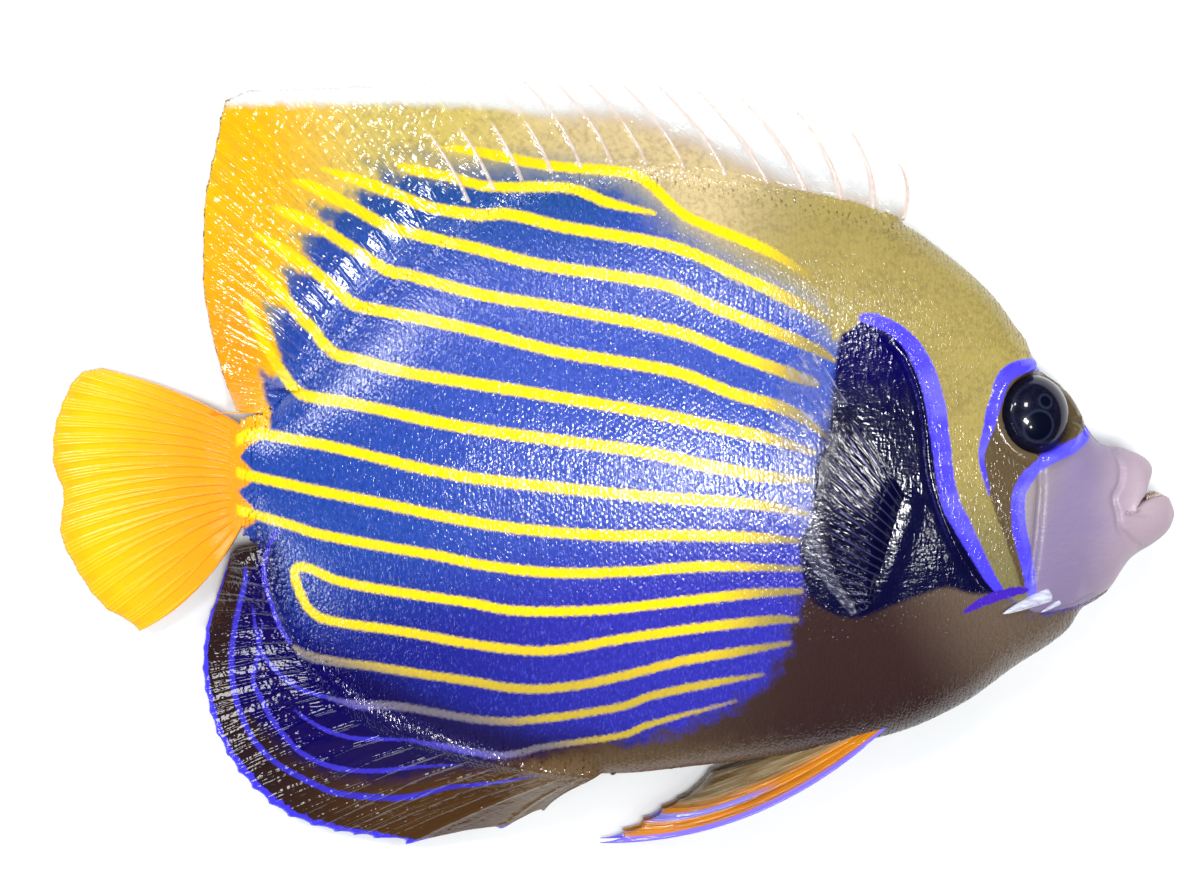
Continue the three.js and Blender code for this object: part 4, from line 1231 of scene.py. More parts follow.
def make_scales(name, x, turn, size, here, normal, to_tail):
    """All the scales at these places as one mesh of plates."""
    n = len(x)
    across = np.cross(normal, to_tail)
    tilt = rng.normal(0, 0.03, (n, 1))
    sway = rng.normal(0, 0.12, (n, 1))
    to_tail = to_tail + across * sway
    normal = normal + to_tail * tilt
    grow = size * rng.uniform(0.92, 1.14, n)
    shape = SCALE[None] * grow[:, None, None]
    points = here[:, None] + shape[..., 0:1] * to_tail[:, None] + shape[..., 1:2] * across[:, None]
    points = points + (shape[..., 2:3] - SKIN_DEPTH * 0.5) * normal[:, None]
    points[..., 2] = np.maximum(points[..., 2], 0.0)
    root = here - to_tail * size[:, None] * 0.12
    marked = np.repeat(root, len(SCALE), axis=0)
    marked = marked * 0.25 + points.reshape(-1, 3) * 0.75
    faces = (scale_faces[None] + (np.arange(n) * len(SCALE))[:, None, None]).reshape(-1, 3)
    patch = np.column_stack([(x + 90) / 180, (turn + math.pi) / (3 * math.pi)])
    spread = SCALE[:, :2] * 0.0024
    uv_points = (patch[:, None] + spread[None]).reshape(-1, 2)
    return make_mesh(name, points.reshape(-1, 3), faces, uv_points[faces.ravel()], marked, smooth_faces=False)


print("scale placing is ready")

# %% The scale finish
scale_finish = Finish("wet_scales")
scale_colour = painted(scale_finish, 0.2)
wrinkles = abs(scale_finish.noise((0.5, 1.6, 0.8), 1) - 0.5).ramp(0, 0.12)
film = scale_finish.noise((2.2, 2.8, 2.2), 1)
relief = scale_finish.bump(wrinkles, 0.025)
relief = scale_finish.bump(film, 0.09, below=relief)
membrane = abs(scale_finish.noise((0.8, 2.2, 1.4), 1) - 0.5).ramp(0.05, 0.3)
relief = scale_finish.bump(membrane * scale_finish.level("mask").within(1.0), 0.05, below=relief)
fin_part = scale_finish.axis(1).ramp(12, 26) * (1 - scale_finish.axis(0).ramp(-26, -8))
rays = abs(scale_finish.streaks(-36, 2.8, 0.6, 1) - 0.5)
relief = scale_finish.bump(rays * fin_part, 0.14, below=relief)
scale_finish.surface(
    Base_Color=scale_colour, Roughness=scale_finish.noise(0.9, 2).ramp(0.25, 0.75, 0.08, 0.2), Normal=relief,
    IOR=1.55, Specular_IOR_Level=0.5,
)
print("scale finish has", len(scale_finish.tree.nodes), "nodes")

# %% Scales of the trunk
trunk_pitch = profile([(-55, 0.62), (-45, 0.72), (-20, 0.83), (20, 0.83), (45, 0.76), (52, 0.64), (76, 0.58)])
x, turn, size = scale_rows(-54.6, 76, trunk_pitch).T
x = x + rng.normal(0, 0.13, len(x))
here, normal, to_tail = body_frame(x, turn)
y = here[:, 1]
marked = {name: on_map(levels[name], here[:, 0], y) for name in ("muzzle", "mask")}
push = folded(here[:, 0], y)
bare = (marked["muzzle"] < 0.3) | (eye_reach(x, y) < 1.28) | ((marked["mask"] < -0.6) & (x > 28)) | (x > 76)
bare |= np.abs(on_map(levels["blue"], here[:, 0], y) + 0.3) < 0.25 * (x > 40)
keep = ~bare
x, turn, size, here, normal, to_tail, push = (v[keep] for v in (x, turn, size, here, normal, to_tail, push))
here = here + normal * push[:, None]
on_head = x > 42
for name, chosen, slot in (
    ("scales_flank_right", (np.cos(turn) > 0) & ~on_head & (x > -5), "body_skin"),
    ("scales_rear_right", (np.cos(turn) > 0) & ~on_head & (x <= -5), "body_skin"),
    ("scales_flank_left", (np.cos(turn) <= 0) & ~on_head & (x > -5), "body_skin"),
    ("scales_rear_left", (np.cos(turn) <= 0) & ~on_head & (x <= -5), "body_skin"),
    ("scales_head_right", (np.cos(turn) > 0) & on_head, "head_skin"),
    ("scales_head_left", (np.cos(turn) <= 0) & on_head, "head_skin"),
):
    plates = make_scales(name, *(v[chosen] for v in (x, turn, size, here, normal, to_tail)))
    add_piece(name, plates, scale_finish.material, slot)
print("scales on the body:", len(x))

# %% [markdown]
# ## The fins
#
# A fin is a sheet held up by rays. Each ray stands out as a ridge on both faces, and soft rays split
# in two and again in four on their way out, which gives the fine comb at the edge. Spines stay single
# and end in points, with the membrane cut in between them. The sheets are grids in two counts: which
# ray, and how far out. The root rows run on into the body, at the thickness that body and fin share.

# %% Fin outlines
FINS = {
    "dorsal": dict(
        rays=34, spines=14, bow=1.2, ridge=(0.32, 0.08), columns=17, rows=60, sunk=6,
        root=curve([
            (44.3, 37.1), (35.3, 39.9), (24.5, 42), (12, 44.3), (1.2, 45), (-7.7, 43.6), (-16.2, 41),
            (-26.2, 34.7), (-36.5, 25.8), (-42.4, 19.3), (-48, 11.9), (-51.4, 8.4),
        ], [0, 2, 4, 6, 8, 10, 12, 15, 20, 24, 30, 33]),
        edge=curve([
            (44.3, 46), (37.1, 50.7), (28.9, 53.7), (20.6, 55.6), (8.2, 57.4), (-7.2, 57.9), (-17, 58.4),
            (-27.5, 57.9), (-42.8, 57.5), (-54, 57.3), (-58.1, 55.6), (-59.6, 49.7), (-61.7, 38.7),
            (-61.9, 28.6), (-60.9, 21.4), (-58.9, 14.1), (-55.9, 8.6),
        ], [0, 1, 2, 3, 5, 8, 10, 12, 15, 17, 18, 20, 23, 26, 28, 30, 33]),
        height=profile([(0, 9.5), (11, 7), (17, 2.6), (22, 1.2), (29, 1.4), (31, 4), (33, 7.6)]),
        notch=profile([(0, 0.62), (1, 0.5), (3, 0.3), (6, 0.12), (10, 0.06), (14, 0.01), (33, 0.006)]),
    ),
    "anal": dict(
        rays=23, spines=3, bow=-1, ridge=(0.34, 0.15), columns=17, rows=50, sunk=6,
        root=curve([
            (-1.6, -46.9), (-8.3, -46.2), (-16, -44.8), (-23.6, -42.6), (-31.2, -39.9), (-38.8, -35.8),
            (-44.2, -30.3), (-48, -24.2), (-50.7, -17.9), (-52.6, -12.2),
        ], [0, 3, 5, 7, 9, 11, 14, 17, 20, 22]),
        edge=curve([
            (-9.3, -53.4), (-15.9, -56.8), (-31, -59.7), (-36, -58.8), (-42.2, -57.8), (-49.4, -55.4),
            (-55, -50.9), (-59, -45.5), (-61.6, -38.8), (-62.6, -32), (-62, -25.7), (-60, -20.2),
            (-58.6, -16.9), (-57, -13.2),
        ], [0, 1, 2, 3, 5, 7, 9, 11, 13, 15, 17, 19, 20, 22]),
        height=profile([(0, 6), (2, 1.6), (4, 1.2), (18, 1.4), (20, 4.4), (22, 7.6)]),
        notch=profile([(0, 0.2), (2, 0.1), (3, 0.03), (22, 0.02)]),
    ),
    "caudal": dict(
        rays=17, spines=0, bow=0, ridge=(0.3, 0.15), columns=22, rows=56, sunk=4,
        root=curve([(-55.3, 6.4), (-55.3, -1.7), (-55.3, -9.2)], [0, 8, 16]),
        middle=curve([
            (-65.8, 11.3), (-68.8, 5.4), (-69.8, -2), (-68.4, -10), (-62.9, -19.4),
        ], [0, 4, 8, 12, 16]),
        edge=curve([
            (-77.7, 14.7), (-80.6, 14.1), (-83.9, 9.3), (-85.4, 3.6), (-85.5, 0.5), (-83.9, -5),
            (-84.5, -10.4), (-81.8, -17), (-77.3, -22.8), (-74.2, -24.4), (-72.2, -26.1),
        ], [0, 1, 3, 5, 6, 8, 10, 12, 14, 15, 16]),
        height=profile([(0, 1.8), (3, 1.2), (13, 1.2), (16, 1.8)]),
        notch=profile([(0, 0.006), (16, 0.006)]),
    ),
    "pectoral": dict(
        rays=17, spines=0, bow=0, ridge=(0.1, 0.05), columns=14, rows=48, sunk=0,
        root=curve([(44.6, -4.2), (43.6, -8), (42.2, -12.2), (40.6, -16), (39, -19)], [0, 4, 8, 12, 16]),
        edge=curve([
            (30.4, 18.4), (28.6, 18.6), (25, 13.3), (24.1, 5.2), (25.4, -3.5), (28.5, -10.9), (32.6, -16.6),
            (36, -20.6),
        ], [0, 1, 3, 6, 9, 12, 14, 16]),
        notch=profile([(0, 0.02), (16, 0.02)]),
    ),
    "pelvic": dict(
        rays=7, spines=1, bow=0, ridge=(0.35, 0.12), columns=20, rows=60, sunk=2,
        root=curve([(41.6, -39.6), (38.5, -39.9), (35, -40.2)], [0, 3, 6]),
        middle=curve([(21.8, -53.6), (20.4, -50.4), (21.2, -45.6)], [0, 3, 6]),
        edge=curve([
            (-0.9, -58.9), (2.7, -57.4), (8.9, -53.7), (13.9, -50.7), (16.5, -47.8),
        ], [0, 1, 3, 5, 6]),
        notch=profile([(0, 0.04), (6, 0.04)]),
    ),
}


# %% A fin's surface
def fin_place(fin, count, out):
    """The side view of a fin at a ray count and a way out from 0 at the root to 1 at the edge."""
    root, edge = np.array(fin["root"](count)), np.array(fin["edge"](count))
    middle = np.array(fin["middle"](count)) if "middle" in fin else (root + edge) / 2
    place = (1 - out) * (1 - 2 * out) * root + 4 * out * (1 - out) * middle + out * (2 * out - 1) * edge
    return place[0] + fin["bow"] * 4 * out * (1 - out), place[1]


def ray_relief(fin, count, out):
    """1 on the crest of a ray or branch and 0 on the membrane between."""
    near = np.round(count)
    off = count - near
    first = 0.17 * smooth((out - 0.28) / 0.3)
    second = 0.08 * smooth((out - 0.55) / 0.3)
    far = np.clip(out, 0, 1)
    branches = [
        bell(off - a * first - b * second, 0.1 - 0.05 * far) for a in (-1, 1) for b in (-1, 1)
    ]
    spine = bell(off, 0.12 - 0.06 * far)
    return np.where(near < fin["spines"], spine, np.max(branches, axis=0))


SUNK_ROWS = 7


def make_fin(name, fin, half_at, middle_at):
    """A fin as a closed sheet: half_at gives its half thickness and middle_at the height of its middle."""
    gaps = fin["rays"] - 1
    count = np.linspace(0, gaps, gaps * fin["columns"] + 1)[:, None]
    root, edge = np.array(fin["root"](count[:, 0])), np.array(fin["edge"](count[:, 0]))
    length = np.hypot(*(edge - root))[:, None]
    out = np.linspace(0, 1, fin["rows"])[None, :] ** 0.95 * np.ones_like(count)
    off = np.abs(count - np.round(count)) * 2
    gap = 0.5 * smooth(off / 0.35) + 0.5 * smooth(off)
    fringe = 0.5 + 0.5 * np.cos(2 * np.pi * count * 4)
    out = out * (1 - fin["notch"](count) * gap - 0.003 * fringe)
    if fin["sunk"]:
        sunk = np.linspace(1, 0, SUNK_ROWS, endpoint=False)[None, :] * fin["sunk"] / length
        out = np.concatenate([-sunk, out], axis=1)
    x, y = fin_place(fin, count, out)
    relief = ray_relief(fin, count, out)
    ridge = fin["ridge"][0] + (fin["ridge"][1] - fin["ridge"][0]) * np.clip(out, 0, 1)
    rise = np.where(out < 0, 0, smooth(out / 0.12)) * (1 - 0.7 * smooth((out - 0.9) / 0.1))
    half = half_at(x, y, out, count) + ridge * relief * rise
    middle = middle_at(x, y, out, count)
    columns = x.shape[1]
    top = np.stack([x, y, middle + half], -1)
    under = np.stack([x, y, middle - half], -1)
    grid = np.concatenate([top, under[:, ::-1]], axis=1)
    grid[..., 2] = np.maximum(grid[..., 2], 0)
    n, m = grid.shape[:2]
    faces = grid_faces(n, m, closed=True)
    i, j = np.divmod(np.arange(len(faces)), m)
    u, v = np.arange(n) / n * 0.96 + 0.02, np.arange(m + 1) / m * 0.96 + 0.02
    uv = quad_uv(u, v, i, j)
    a = np.arange(columns - 1)
    first_end = np.column_stack([a, a + 1, m - 2 - a, m - 1 - a])
    last_end = (n - 1) * m + first_end[:, ::-1]
    ends = np.concatenate([first_end, last_end])
    end_uv = np.zeros((len(ends), 4, 2)) + 0.005
    end_uv[:, :, 1] = np.tile(np.stack([v[a], v[a + 1], v[a + 1], v[a]], -1), (2, 1))
    end_uv[:, 2:, 0] = 0.012
    faces = np.concatenate([faces, ends])
    uv = np.concatenate([uv, end_uv])
    p = grid.reshape(-1, 3)[faces]
    volume = np.einsum("ij,ij->", p[:, 0], np.cross(p[:, 1], p[:, 2]) + np.cross(p[:, 2], p[:, 3]))
    if volume < 0:
        faces, uv = faces[:, ::-1], uv[:, ::-1]
    mesh = make_mesh(name, grid.reshape(-1, 3), faces, uv.reshape(-1, 2))
    facts = np.stack([np.clip(out, 0, 1), relief, count * np.ones_like(out)], -1)
    carry(mesh, "fin_facts", np.concatenate([facts, facts[:, ::-1]], axis=1))
    return mesh


def median_middle(fin):
    def height(x, y, out, count):
        root = middle_height(np.array(fin["root"](count))[0])
        far = np.clip(out, 0, 1)
        return np.where(out < 0, middle_height(x), root + (fin["height"](count) - root) * far)
    return height


def median_half(x, y, out, count):
    """The shared thickness, sunk under the scales where the sheet ends inside the body."""
    thinner = 0.12 + 0.35 * smooth(-out * 12)
    return np.maximum(shared_half(x, y) - thinner * (out < 0.08) - 0.1 * smooth(out), 0.14)


print("fins:", ", ".join(FINS))

# %% [markdown]
# ## The finish of the fins
#
# The median fins carry the body's colours out to their edges. What makes them fins to the eye is the
# wet film over fine rays: it runs along them in broken white streaks. So the film's bump is stretched
# along the rays: on the anal and tail fins with the ray count and the way out as its two axes, on the
# dorsal fin as long grains at a slant in the side view. The upper edge of the dorsal fin and the fins
# at the chest are clear membrane, so their Alpha is low between the rays.

# %% Median fin finish
def fin_facts(finish):
    """The way out, the ridge of the rays and the ray count, as the mesh of a fin carries them."""
    return [finish.carried("fin_facts", index) for index in range(3)]


def along_rays(finish, across, along, detail=2):
    """Noise with grains stretched along the rays."""
    out, _, count = fin_facts(finish)
    sockets = {0: count * (1 / across), 1: out * (1 / along), 2: finish.axis(2) * 0.3}
    return finish.noise_at(finish.node("ShaderNodeCombineXYZ", {}, sockets), detail)


def median_finish(name, clear_edge):
    finish = Finish(name)
    colour = painted(finish, 0.2)
    out, ray, _ = fin_facts(finish)
    x = finish.axis(0)
    streak = along_rays(finish, 0.2, 0.12)
    darker = finish.mix(0.45, colour, (0.05, 0.02, 0.03))
    shade = (streak * 0.8 + ray * 0.2).ramp(0.3, 0.6, 0.3, 0) * out.ramp(0.05, 0.3)
    colour = finish.mix(shade, colour, darker)
    film = finish.streaks(-38, 2.8, 0.6, 1) if clear_edge else along_rays(finish, 0.24, 0.1, 1)
    relief = finish.bump(abs(film - 0.5), 0.13)
    relief = finish.bump(finish.noise((1.1, 1.5, 1.2), 1), 0.12, below=relief)
    if clear_edge:
        fleshy = x.ramp(-10, 4) * (1 - x.ramp(16, 34, 0, 0.7)) * 2.6
        reach = (finish.level("margin") + fleshy + finish.noise(2.2, 2) * 2 - 1) / x.ramp(-20, 4, 1.1, 2.2)
        margin = reach.ramp(0.9, -1.1)
        colour = finish.mix(reach.ramp(1.6, 0) * x.ramp(-20, 4, 0, 0.75), colour, (0.5, 0.4, 0.34))
        colour = finish.mix(margin, colour, COLOURS["margin"])
        colour = finish.mix(margin * ray * x.ramp(-30, -5), colour, (0.8, 0.62, 0.55))
        alpha = 1 - margin * (x.ramp(-42, -10, 0.62, 0.86) - ray * 0.6)
        dots = finish.noise(0.5, 1).ramp(0.42, 0.58) * out.ramp(0.982, 0.992) * (-x).ramp(52, 56)
        colour = finish.mix(dots, colour, (0.12, 0.06, 0.04))
    else:
        alpha = 1
        edge = (out + (finish.noise(1.0, 2) - 0.5) * 0.08).ramp(0.915, 0.93)
        lower = (-finish.level("rim")).ramp(0.8, 2.0) * (1 - x.ramp(-20, -10))
        colour = finish.mix(edge * lower, colour, COLOURS["fin edge blue"])
    roughness = finish.noise(1.2, 2).ramp(0.25, 0.75, 0.05, 0.11)
    return finish.surface(
        Base_Color=colour, Roughness=roughness, Normal=relief, Alpha=alpha,
        IOR=1.8 if clear_edge else 1.6, Specular_IOR_Level=0.5,
    )


def tail_finish():
    finish = Finish("tail_fin_skin")
    colour = painted(finish, 0.2)
    out, ray, _ = fin_facts(finish)
    streak = along_rays(finish, 0.2, 0.3)
    pale = finish.mix(0.4, colour, (1.0, 0.8, 0.1))
    colour = finish.mix((ray * 0.5 + streak * 0.6).ramp(0.45, 1.0, 0, 0.7) * out.ramp(0.2, 0.6), colour, pale)
    relief = finish.bump(along_rays(finish, 0.2, 0.06), 0.05)
    alpha = 1 - out.ramp(0.85, 1.0) * (0.25 - ray * 0.2)
    return finish.surface(
        Base_Color=colour, Roughness=0.2, Normal=relief, Alpha=alpha, IOR=1.5, Specular_IOR_Level=0.35,
    )


dorsal_look = median_finish("dorsal_fin_skin", True)
anal_look = median_finish("anal_fin_skin", False)
print("median fin finishes are ready")

# %% Median fins
for name, look in (("dorsal", dorsal_look), ("anal", anal_look), ("caudal", tail_finish())):
    fin = FINS[name]
    mesh = make_fin(f"{name}_fin_sheet", fin, median_half, median_middle(fin))
    slot = "tail_fin" if name == "caudal" else f"{name}_fin"
    add_piece(f"{name}_fin_sheet", mesh, look, slot, f"{name}_fin")

# %% Scales on the bases of the median fins
def fin_scales(name, fin, slot, reach):
    """Scales that climb from the body onto a fin's base and get smaller on the way."""
    middle_of = median_middle(fin)

    def surface(count, out, s):
        x, y = fin_place(fin, count, out)
        far = middle_of(x, y, out, count)
        return np.stack([x, y, far + s * (shared_half(x, y) - 0.02)], -1)

    fine = np.linspace(0, fin["rays"] - 1, 900)
    found = []
    away, odd = 0.2, False
    while away < reach:
        size = 0.85 - 0.4 * away / reach
        root, edge = np.array(fin["root"](fine)), np.array(fin["edge"](fine))
        out = away / np.hypot(*(edge - root))
        x, y = fin_place(fin, fine, out)
        run = np.concatenate([[0], np.cumsum(np.hypot(np.diff(x), np.diff(y)))])
        marks = (np.arange(1, int(run[-1] / size) - 1) + (0.5 if odd else 0)) * size
        count, way = np.interp(marks, run, fine), np.interp(marks, run, out)
        found.append(np.column_stack([count, way, np.full(len(marks), size)]))
        away += size * 0.86
        odd = not odd
    count, out, size = np.vstack(found).T
    shown = (out < 0.55) & (on_map(levels["margin"], *fin_place(fin, count, out)) > 0.2)
    count, out, size = count[shown], out[shown], size[shown]
    sides = np.repeat([1, -1], len(count))
    count, out, size = np.tile(count, 2), np.tile(out, 2), np.tile(size, 2)
    here = surface(count, out, sides)
    one = surface(count + 0.01, out, sides) - surface(count - 0.01, out, sides)
    two = surface(count, out + 0.005, sides) - surface(count, out - 0.005, sides)
    normal = unit(np.cross(one, two))
    normal *= np.where(normal[:, 2] * sides < 0, -1, 1)[:, None]
    to_tail = np.array([-1.0, 0, 0]) + 0.5 * unit(two)
    to_tail = unit(to_tail - normal * np.sum(to_tail * normal, axis=1, keepdims=True))
    turn = np.where(sides > 0, 0.6, 2.2) + out
    mesh = make_scales(name, here[:, 0], turn, size, here, normal, to_tail)
    add_piece(name, mesh, scale_finish.material, slot)


fin_scales("scales_dorsal_base", FINS["dorsal"], "dorsal_fin", reach=10)
fin_scales("scales_anal_base", FINS["anal"], "anal_fin", reach=9)
fin_scales("scales_tail_base", FINS["caudal"], "tail_fin", reach=7)

# %% [markdown]
# ## The paired fins
#
# The pectoral fins lie pressed on the flanks behind the gill covers. Their membrane is clear, and thin
# pale streaks show along the rays over the dark shoulder band: partly a painted highlight of the wet
# film, partly its real gloss. The pelvic fins hang from the chest: a strong first spine with a pale
# blue edge, then orange and olive membrane between dark rays.

# %% Thickness and height of the paired fins
def thinning(root, loss):
    """Half a thickness that is less by a loss at the edge, most of it near the root."""
    def half(x, y, out, count):
        return root - loss * np.sqrt(np.clip(out, 0, 1))
    return half


# %% Clear pectoral fins
def pectoral_finish():
    finish = Finish("clear_pectoral_membrane")
    out, ray, _ = fin_facts(finish)
    clear = (out + finish.noise(3, 2) * 0.15).ramp(0.5, 0.8)
    dark = finish.mix(ray, (0.002, 0.002, 0.02), (0.03, 0.027, 0.09))
    colour = finish.mix(clear.ramp(0.8, 1.0), dark, (0.42, 0.42, 0.55))
    # Where these wet streaks run, Alpha rises and the pale colour shows: partly a painted highlight of the
    # wet film, partly its real gloss.
    wet = along_rays(finish, 0.3, 0.12)
    film = wet.ramp(0.55, 0.68) * 0.32 + ray.ramp(0.4, 1.0) * 0.06
    alpha = (clear.ramp(0, 1, 0.9, 0.03) + film).least(1.0)
    relief = finish.bump(abs(along_rays(finish, 0.25, 0.1, 1) - 0.5), 0.12)
    return finish.surface(
        Base_Color=colour, Roughness=0.08, Normal=relief, Alpha=alpha, IOR=1.36, Specular_IOR_Level=0.5,
    )


def flank_height(s):
    def height(x, y, out, count):
        lift = 0.95 - 1.7 * smooth(1 - out / 0.2)
        level = flank(x, y, s) + s * lift
        return level if s > 0 else np.maximum(level, 0.4)
    return height


pectoral_look = pectoral_finish()
for s, name in SIDES:
    mesh = make_fin(f"pectoral_fin_sheet_{name}", FINS["pectoral"], thinning(0.42, 0.28), flank_height(s))
    add_piece(f"pectoral_fin_sheet_{name}", mesh, pectoral_look, "pectoral_fin", f"pectoral_fin_{name}")


# %% Pelvic fins
def pelvic_finish():
    finish = Finish("pelvic_fin_skin")
    out, ray, count = fin_facts(finish)
    band = along_rays(finish, 0.5, 0.5)
    orange = finish.mix(band.ramp(0.35, 0.65), (0.62, 0.22, 0.006), (0.4, 0.13, 0.01))
    olive = finish.mix(band.ramp(0.35, 0.65), (0.35, 0.28, 0.17), (0.2, 0.12, 0.04))
    colour = finish.mix((count + band - 0.5).ramp(3.0, 4.0), orange, olive)
    colour = finish.mix(ray.ramp(0.4, 1.0) * 0.4, colour, (0.2, 0.09, 0.03))
    blue_ray = abs(count - 2.4).ramp(0.5, 0.2) * out.ramp(0.3, 0.5)
    colour = finish.mix(blue_ray, colour, (0.2, 0.18, 0.6))
    colour = finish.mix(count.ramp(0.9, 0.5), colour, (0.19, 0.15, 0.95))
    relief = finish.bump(along_rays(finish, 0.25, 0.08, 1), 0.08)
    alpha = 1 - count.ramp(2.8, 4.2) * (1 - ray) * out.ramp(0.1, 0.5) * 0.5
    return finish.surface(
        Base_Color=colour, Roughness=0.16, Normal=relief, Alpha=alpha, IOR=1.6, Specular_IOR_Level=0.5,
    )


def pelvic_height(s):
    def height(x, y, out, count):
        root, tip = FLANK_HEIGHT + 2.4 * s, 4.6 if s > 0 else 1.4
        return root + (tip - root) * out
    return height


pelvic_look = pelvic_finish()
for s, name in SIDES:
    mesh = make_fin(f"pelvic_fin_sheet_{name}", FINS["pelvic"], thinning(0.7, 0.5), pelvic_height(s))
    add_piece(f"pelvic_fin_sheet_{name}", mesh, pelvic_look, "pelvic_fin", f"pelvic_fin_{name}")

# %% [markdown]
# ## The eyes
#
# A fish's eye is a ball with a clear, glossy cornea. Under it sits a dark iris round a darker pupil,
# which shows two discs with pale bluish rims: painted reflections of the sky in the lens. The ball is
# turned as the solid one is.
# The discs and the ring are painted by the place across the eye, which the mesh carries along.

# %% Eyeballs
EYE_FACING = np.array([0.3, 0.18, 0.93]) / np.linalg.norm([0.3, 0.18, 0.93])


def turn_to(facing):
    """The turn that carries the upward axis of one flank to a facing."""
    start = Vector((0, 0, 1 if facing[2] > 0 else -1))
    return np.array(start.rotation_difference(Vector(facing)).to_matrix())


def make_eye(name, s):
    facing = EYE_FACING * (1, 1, s)
    x, y = EYE_PLACE
    centre = np.array([x, y, float(flank(x, y, s))]) - facing * (EYE_AXES[2] - EYE_BULGE)
    rings, segments = 48, 96
    slope = np.linspace(0, math.pi, rings)[:, None]
    round_it = np.linspace(0, 2 * math.pi, segments, endpoint=False)[None, :]
    ball = np.stack([
        np.sin(slope) * np.cos(round_it), np.sin(slope) * np.sin(round_it), np.cos(slope) + 0 * round_it,
    ], -1)
    local = ball * EYE_AXES
    local[..., 2] *= s
    points = (local @ turn_to(facing).T + centre).reshape(-1, 3)
    quads = grid_faces(rings, segments, closed=True)
    i, j = np.divmod(np.arange(len(quads)), segments)
    u, v = np.linspace(0.02, 0.98, rings), np.linspace(0.02, 0.98, segments + 1)
    uv = quad_uv(u, v, i, j)
    front, behind = i > 0, i < rings - 2
    faces = np.concatenate([quads[behind][:, [0, 1, 2]], quads[front][:, [0, 2, 3]]])
    uv = np.concatenate([uv[behind][:, [0, 1, 2]], uv[front][:, [0, 2, 3]]])
    faces = np.where(faces < segments, 0, faces)
    faces = np.where(faces >= (rings - 1) * segments, (rings - 1) * segments, faces)
    if s < 0:
        faces, uv = faces[:, ::-1], uv[:, ::-1]
    used = np.unique(faces)
    faces = np.searchsorted(used, faces)
    mesh = make_mesh(name, points[used], faces, uv.reshape(-1, 2))
    carry(mesh, "eye_facts", local.reshape(-1, 3)[used])
    return mesh


def eye_finish():
    finish = Finish("wet_eye")
    x, y = (finish.carried("eye_facts", index) for index in range(2))

    def from_circle(cx, cy, radius):
        return ((x - cx) ** 2 + (y - cy) ** 2) ** 0.5 - radius

    def on_edge(distance):
        return abs(distance).ramp(0.05, 0.32, 1, 0)

    colour = finish.drift(0.5, 0.3, 0.7, (0.004, 0.004, 0.012), (0.008, 0.008, 0.026))
    colour = finish.mix(on_edge(from_circle(0, 0, 4.5)) * 0.3, colour, (0.03, 0.035, 0.07))
    # The two discs are painted reflections of the sky in the lens: a darker fill and a pale bluish rim.
    for cx, cy, radius in ((0.2, 1.5, 1.0), (-0.9, -2.1, 2.2)):
        distance = from_circle(cx, cy, radius)
        colour = finish.mix(distance.within(0.12), colour, (0.002, 0.003, 0.012))
        colour = finish.mix(on_edge(distance) * 0.35, colour, (0.04, 0.05, 0.1))
    return finish.surface(
        Base_Color=colour, Roughness=0.25, Specular_IOR_Level=0.1,
        Coat_Weight=1.0, Coat_Roughness=0.015, Coat_IOR=1.4,
    )


eye_look = eye_finish()
for s, name in SIDES:
    add_piece(f"eyeball_{name}", make_eye(f"eyeball_{name}", s), eye_look, "eye", f"eye_{name}")

# %% [markdown]
# ## Cheek spines, spine sheaths and teeth
#
# A strong pale spine points back from the lower corner of each gill cover, which every angelfish of
# this family has. Round, half clear sheaths lie over the front spines of the dorsal fin. The teeth
# are a brush: many fine bristles close together, just showing behind the lips. All of them are
# tapered horns on a bent line, so one helper makes them.

# %% Horns
def horn(start, middle, end, radius, tip=0.25, rings=14, segments=12):
    """A bent, tapered horn with a rounded tip: points and triangles."""
    t = np.linspace(0, 1, rings)[:, None]
    line = (1 - t) ** 2 * start + 2 * t * (1 - t) * middle + t * t * end
    run = unit(np.gradient(line, axis=0))
    aside = unit(np.cross(run, [0.31, 0.17, 0.93]))
    other = np.cross(run, aside)
    rounded = np.sqrt(1 - np.clip(t * 1.02 - 0.02, 0, 1) ** 6 + 1e-4)
    thick = radius * (tip + (1 - tip) * (1 - t) ** 0.8) * rounded
    a = np.linspace(0, 2 * math.pi, segments, endpoint=False)
    rim = np.cos(a)[None, :, None] * aside[:, None] + np.sin(a)[None, :, None] * other[:, None]
    points = (line[:, None] + thick[:, None] * rim).reshape(-1, 3)
    quads = grid_faces(rings, segments, closed=True)
    k = np.arange(segments)
    k2 = (k + 1) % segments
    foot, point = rings * segments, rings * segments + 1
    last = (rings - 1) * segments
    faces = np.concatenate([
        quads[:, [0, 1, 2]], quads[:, [0, 2, 3]],
        np.column_stack([np.full(segments, foot), k, k2]),
        np.column_stack([np.full(segments, point), last + k2, last + k]),
    ])
    tip_point = line[-1] + run[-1] * thick[-1]
    return np.vstack([points, line[:1], tip_point[None]]), faces


def horns_piece(name, horns, look, slot, *replaced):
    """Several horns as one piece, each with its own strip of the baking map."""
    all_points, all_faces, all_uv, count = [], [], [], 0
    for k, (points, faces) in enumerate(horns):
        p = points[faces]
        if np.einsum("ij,ij->", p[:, 0], np.cross(p[:, 1], p[:, 2])) < 0:
            faces = faces[:, ::-1]
        low, spread = points.min(0), np.ptp(points, axis=0) + 1e-6
        flat = (points - low) / spread
        up = flat[:, 2] * 0.5 + flat[:, 1] * 0.45 + 0.02
        cell = np.column_stack([(flat[:, 0] * 0.9 + k) / len(horns), up])
        all_uv.append(cell[faces].reshape(-1, 2))
        all_points.append(points)
        all_faces.append(faces + count)
        count += len(points)
    mesh = make_mesh(name, np.vstack(all_points), np.vstack(all_faces), np.vstack(all_uv))
    return add_piece(name, mesh, look, slot, *replaced)


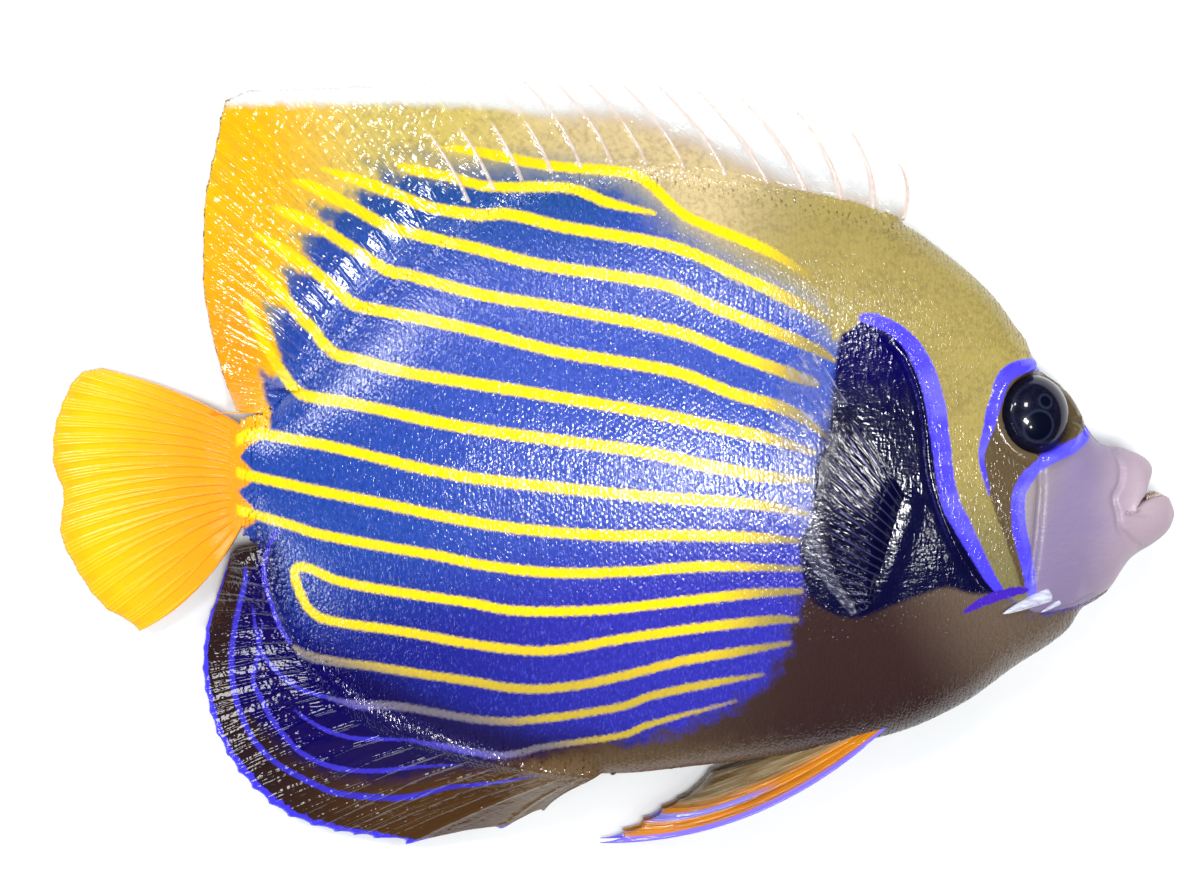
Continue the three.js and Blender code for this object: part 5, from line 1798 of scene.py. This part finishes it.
bone = Finish("pale_spine")
bone_colour = bone.drift((2, 0.5, 0.5), 0.35, 0.7, (0.62, 0.66, 0.78), (0.42, 0.4, 0.52))
bone_relief = bone.bump(bone.noise((2.5, 0.2, 0.2), 2), 0.05)
bone.surface(
    Base_Color=bone_colour, Roughness=0.4, Normal=bone_relief, Subsurface_Weight=0.2,
    Subsurface_Radius=(0.5 * MM, 0.5 * MM, 0.6 * MM), Coat_Weight=0.6, Coat_Roughness=0.08, Coat_IOR=1.36,
)
for s, name in SIDES:
    def on_flank(x, y, out):
        return np.array([x, y, max(float(flank(x, y, s)) + s * out, 1.0)])
    start, middle, end = on_flank(65.6, -18.1, -0.4), on_flank(62.2, -19.2, 0.55), on_flank(58.6, -20.6, 0.75)
    spine = horn(start, middle, end, 1.15, rings=20, segments=20)
    small = horn(on_flank(67.5, -19.3, -0.3), on_flank(66, -20.1, 0.1), on_flank(64.6, -20.7, 0.25), 0.45)
    horns_piece(f"cheek_horn_{name}", [spine, small], bone.material, "cheek_spine", f"cheek_spine_{name}")

# %% Spine sheaths of the dorsal fin
sheath = Finish("wet_spine_sheath")
sheath_colour = sheath.drift((0.6, 1.5, 0.6), 0.35, 0.65, (0.92, 0.8, 0.74), (0.78, 0.62, 0.55))
sheath.surface(
    Base_Color=sheath_colour, Roughness=0.3, Alpha=0.6, Coat_Weight=1.0, Coat_Roughness=0.06, Coat_IOR=1.7,
)


def spine_sheath(count, s):
    """A thin rod along one spine, half sunk in the face of the fin."""
    fin = FINS["dorsal"]
    out = np.array([0.04, 0.5, 0.96])
    x, y = fin_place(fin, np.full(3, float(count)), out)
    z = median_middle(fin)(x, y, out, np.full(3, float(count))) + s * median_half(x, y, out, count)
    foot, waist, tip = np.column_stack([x, y, np.maximum(z, 0.4)])
    return horn(foot, waist * 2 - (foot + tip) / 2, tip, 0.36, tip=0.4, rings=24, segments=10)


for s, name in SIDES:
    sheaths = [spine_sheath(count, s) for count in range(FINS["dorsal"]["spines"])]
    horns_piece(f"spine_sheaths_{name}", sheaths, sheath.material, "dorsal_fin")

# %% Teeth
tooth = Finish("fine_teeth")
tooth_colour = tooth.mix(tooth.noise(0.4, 1), (0.72, 0.62, 0.5), (0.5, 0.4, 0.36))
tooth.surface(Base_Color=tooth_colour, Roughness=0.3, Coat_Weight=0.5, Coat_Roughness=0.1)
rolled = lip_rings[5]
bristles = []
for low, high, up, count in ((38, 90, -1, 11), (-90, -40, 1, 12)):
    for s in (1, -1):
        for degrees in np.linspace(low + (2 if low > 0 else 4), high - (2 if up < 0 else 0), count):
            k = int(np.argmin(np.abs(side_turn - degrees) + 400 * (side != s)))
            base = rolled[k]
            inward = unit(np.array([*MOUTH_MIDDLE, float(middle_height(80))]) - base)
            rise = np.array([0.25, 1.0 * up, 0])
            foot = base + inward * 0.35 - rise * 0.5
            bend, point = foot + rise * 0.6 + inward * 0.1, foot + rise * 1.15 - inward * 0.1
            bristles.append(horn(foot, bend, point, 0.2, rings=6, segments=7))
horns_piece("teeth", bristles, tooth.material, "lips")
print("teeth:", len(bristles))

# %% [markdown]
# ## The floor
#
# The fish lies on a plain pale sheet, a little wet, so the floor has a faint gloss and almost no
# colour of its own. It is part of the stage, not of the fish.

# %% Floor
floor_mesh = bpy.data.meshes.new("floor")
FLOOR_HALF = 1.6
corners = [(x * FLOOR_HALF, y * FLOOR_HALF, 0) for x, y in ((-1, -1), (1, -1), (1, 1), (-1, 1))]
floor_mesh.from_pydata(corners, [], [(0, 1, 2, 3)])
floor = bpy.data.objects.new("floor", floor_mesh)
floor.location.z = -0.00003
scene.collection.objects.link(floor)
floor_finish = Finish("pale_sheet")
floor_colour = floor_finish.drift(40, 0.3, 0.7, (0.86, 0.87, 0.87), (0.8, 0.815, 0.82), detail=3)
floor_finish.surface(Base_Color=floor_colour, Roughness=0.5)
floor_mesh.materials.append(floor_finish.material)
print("the floor is laid")
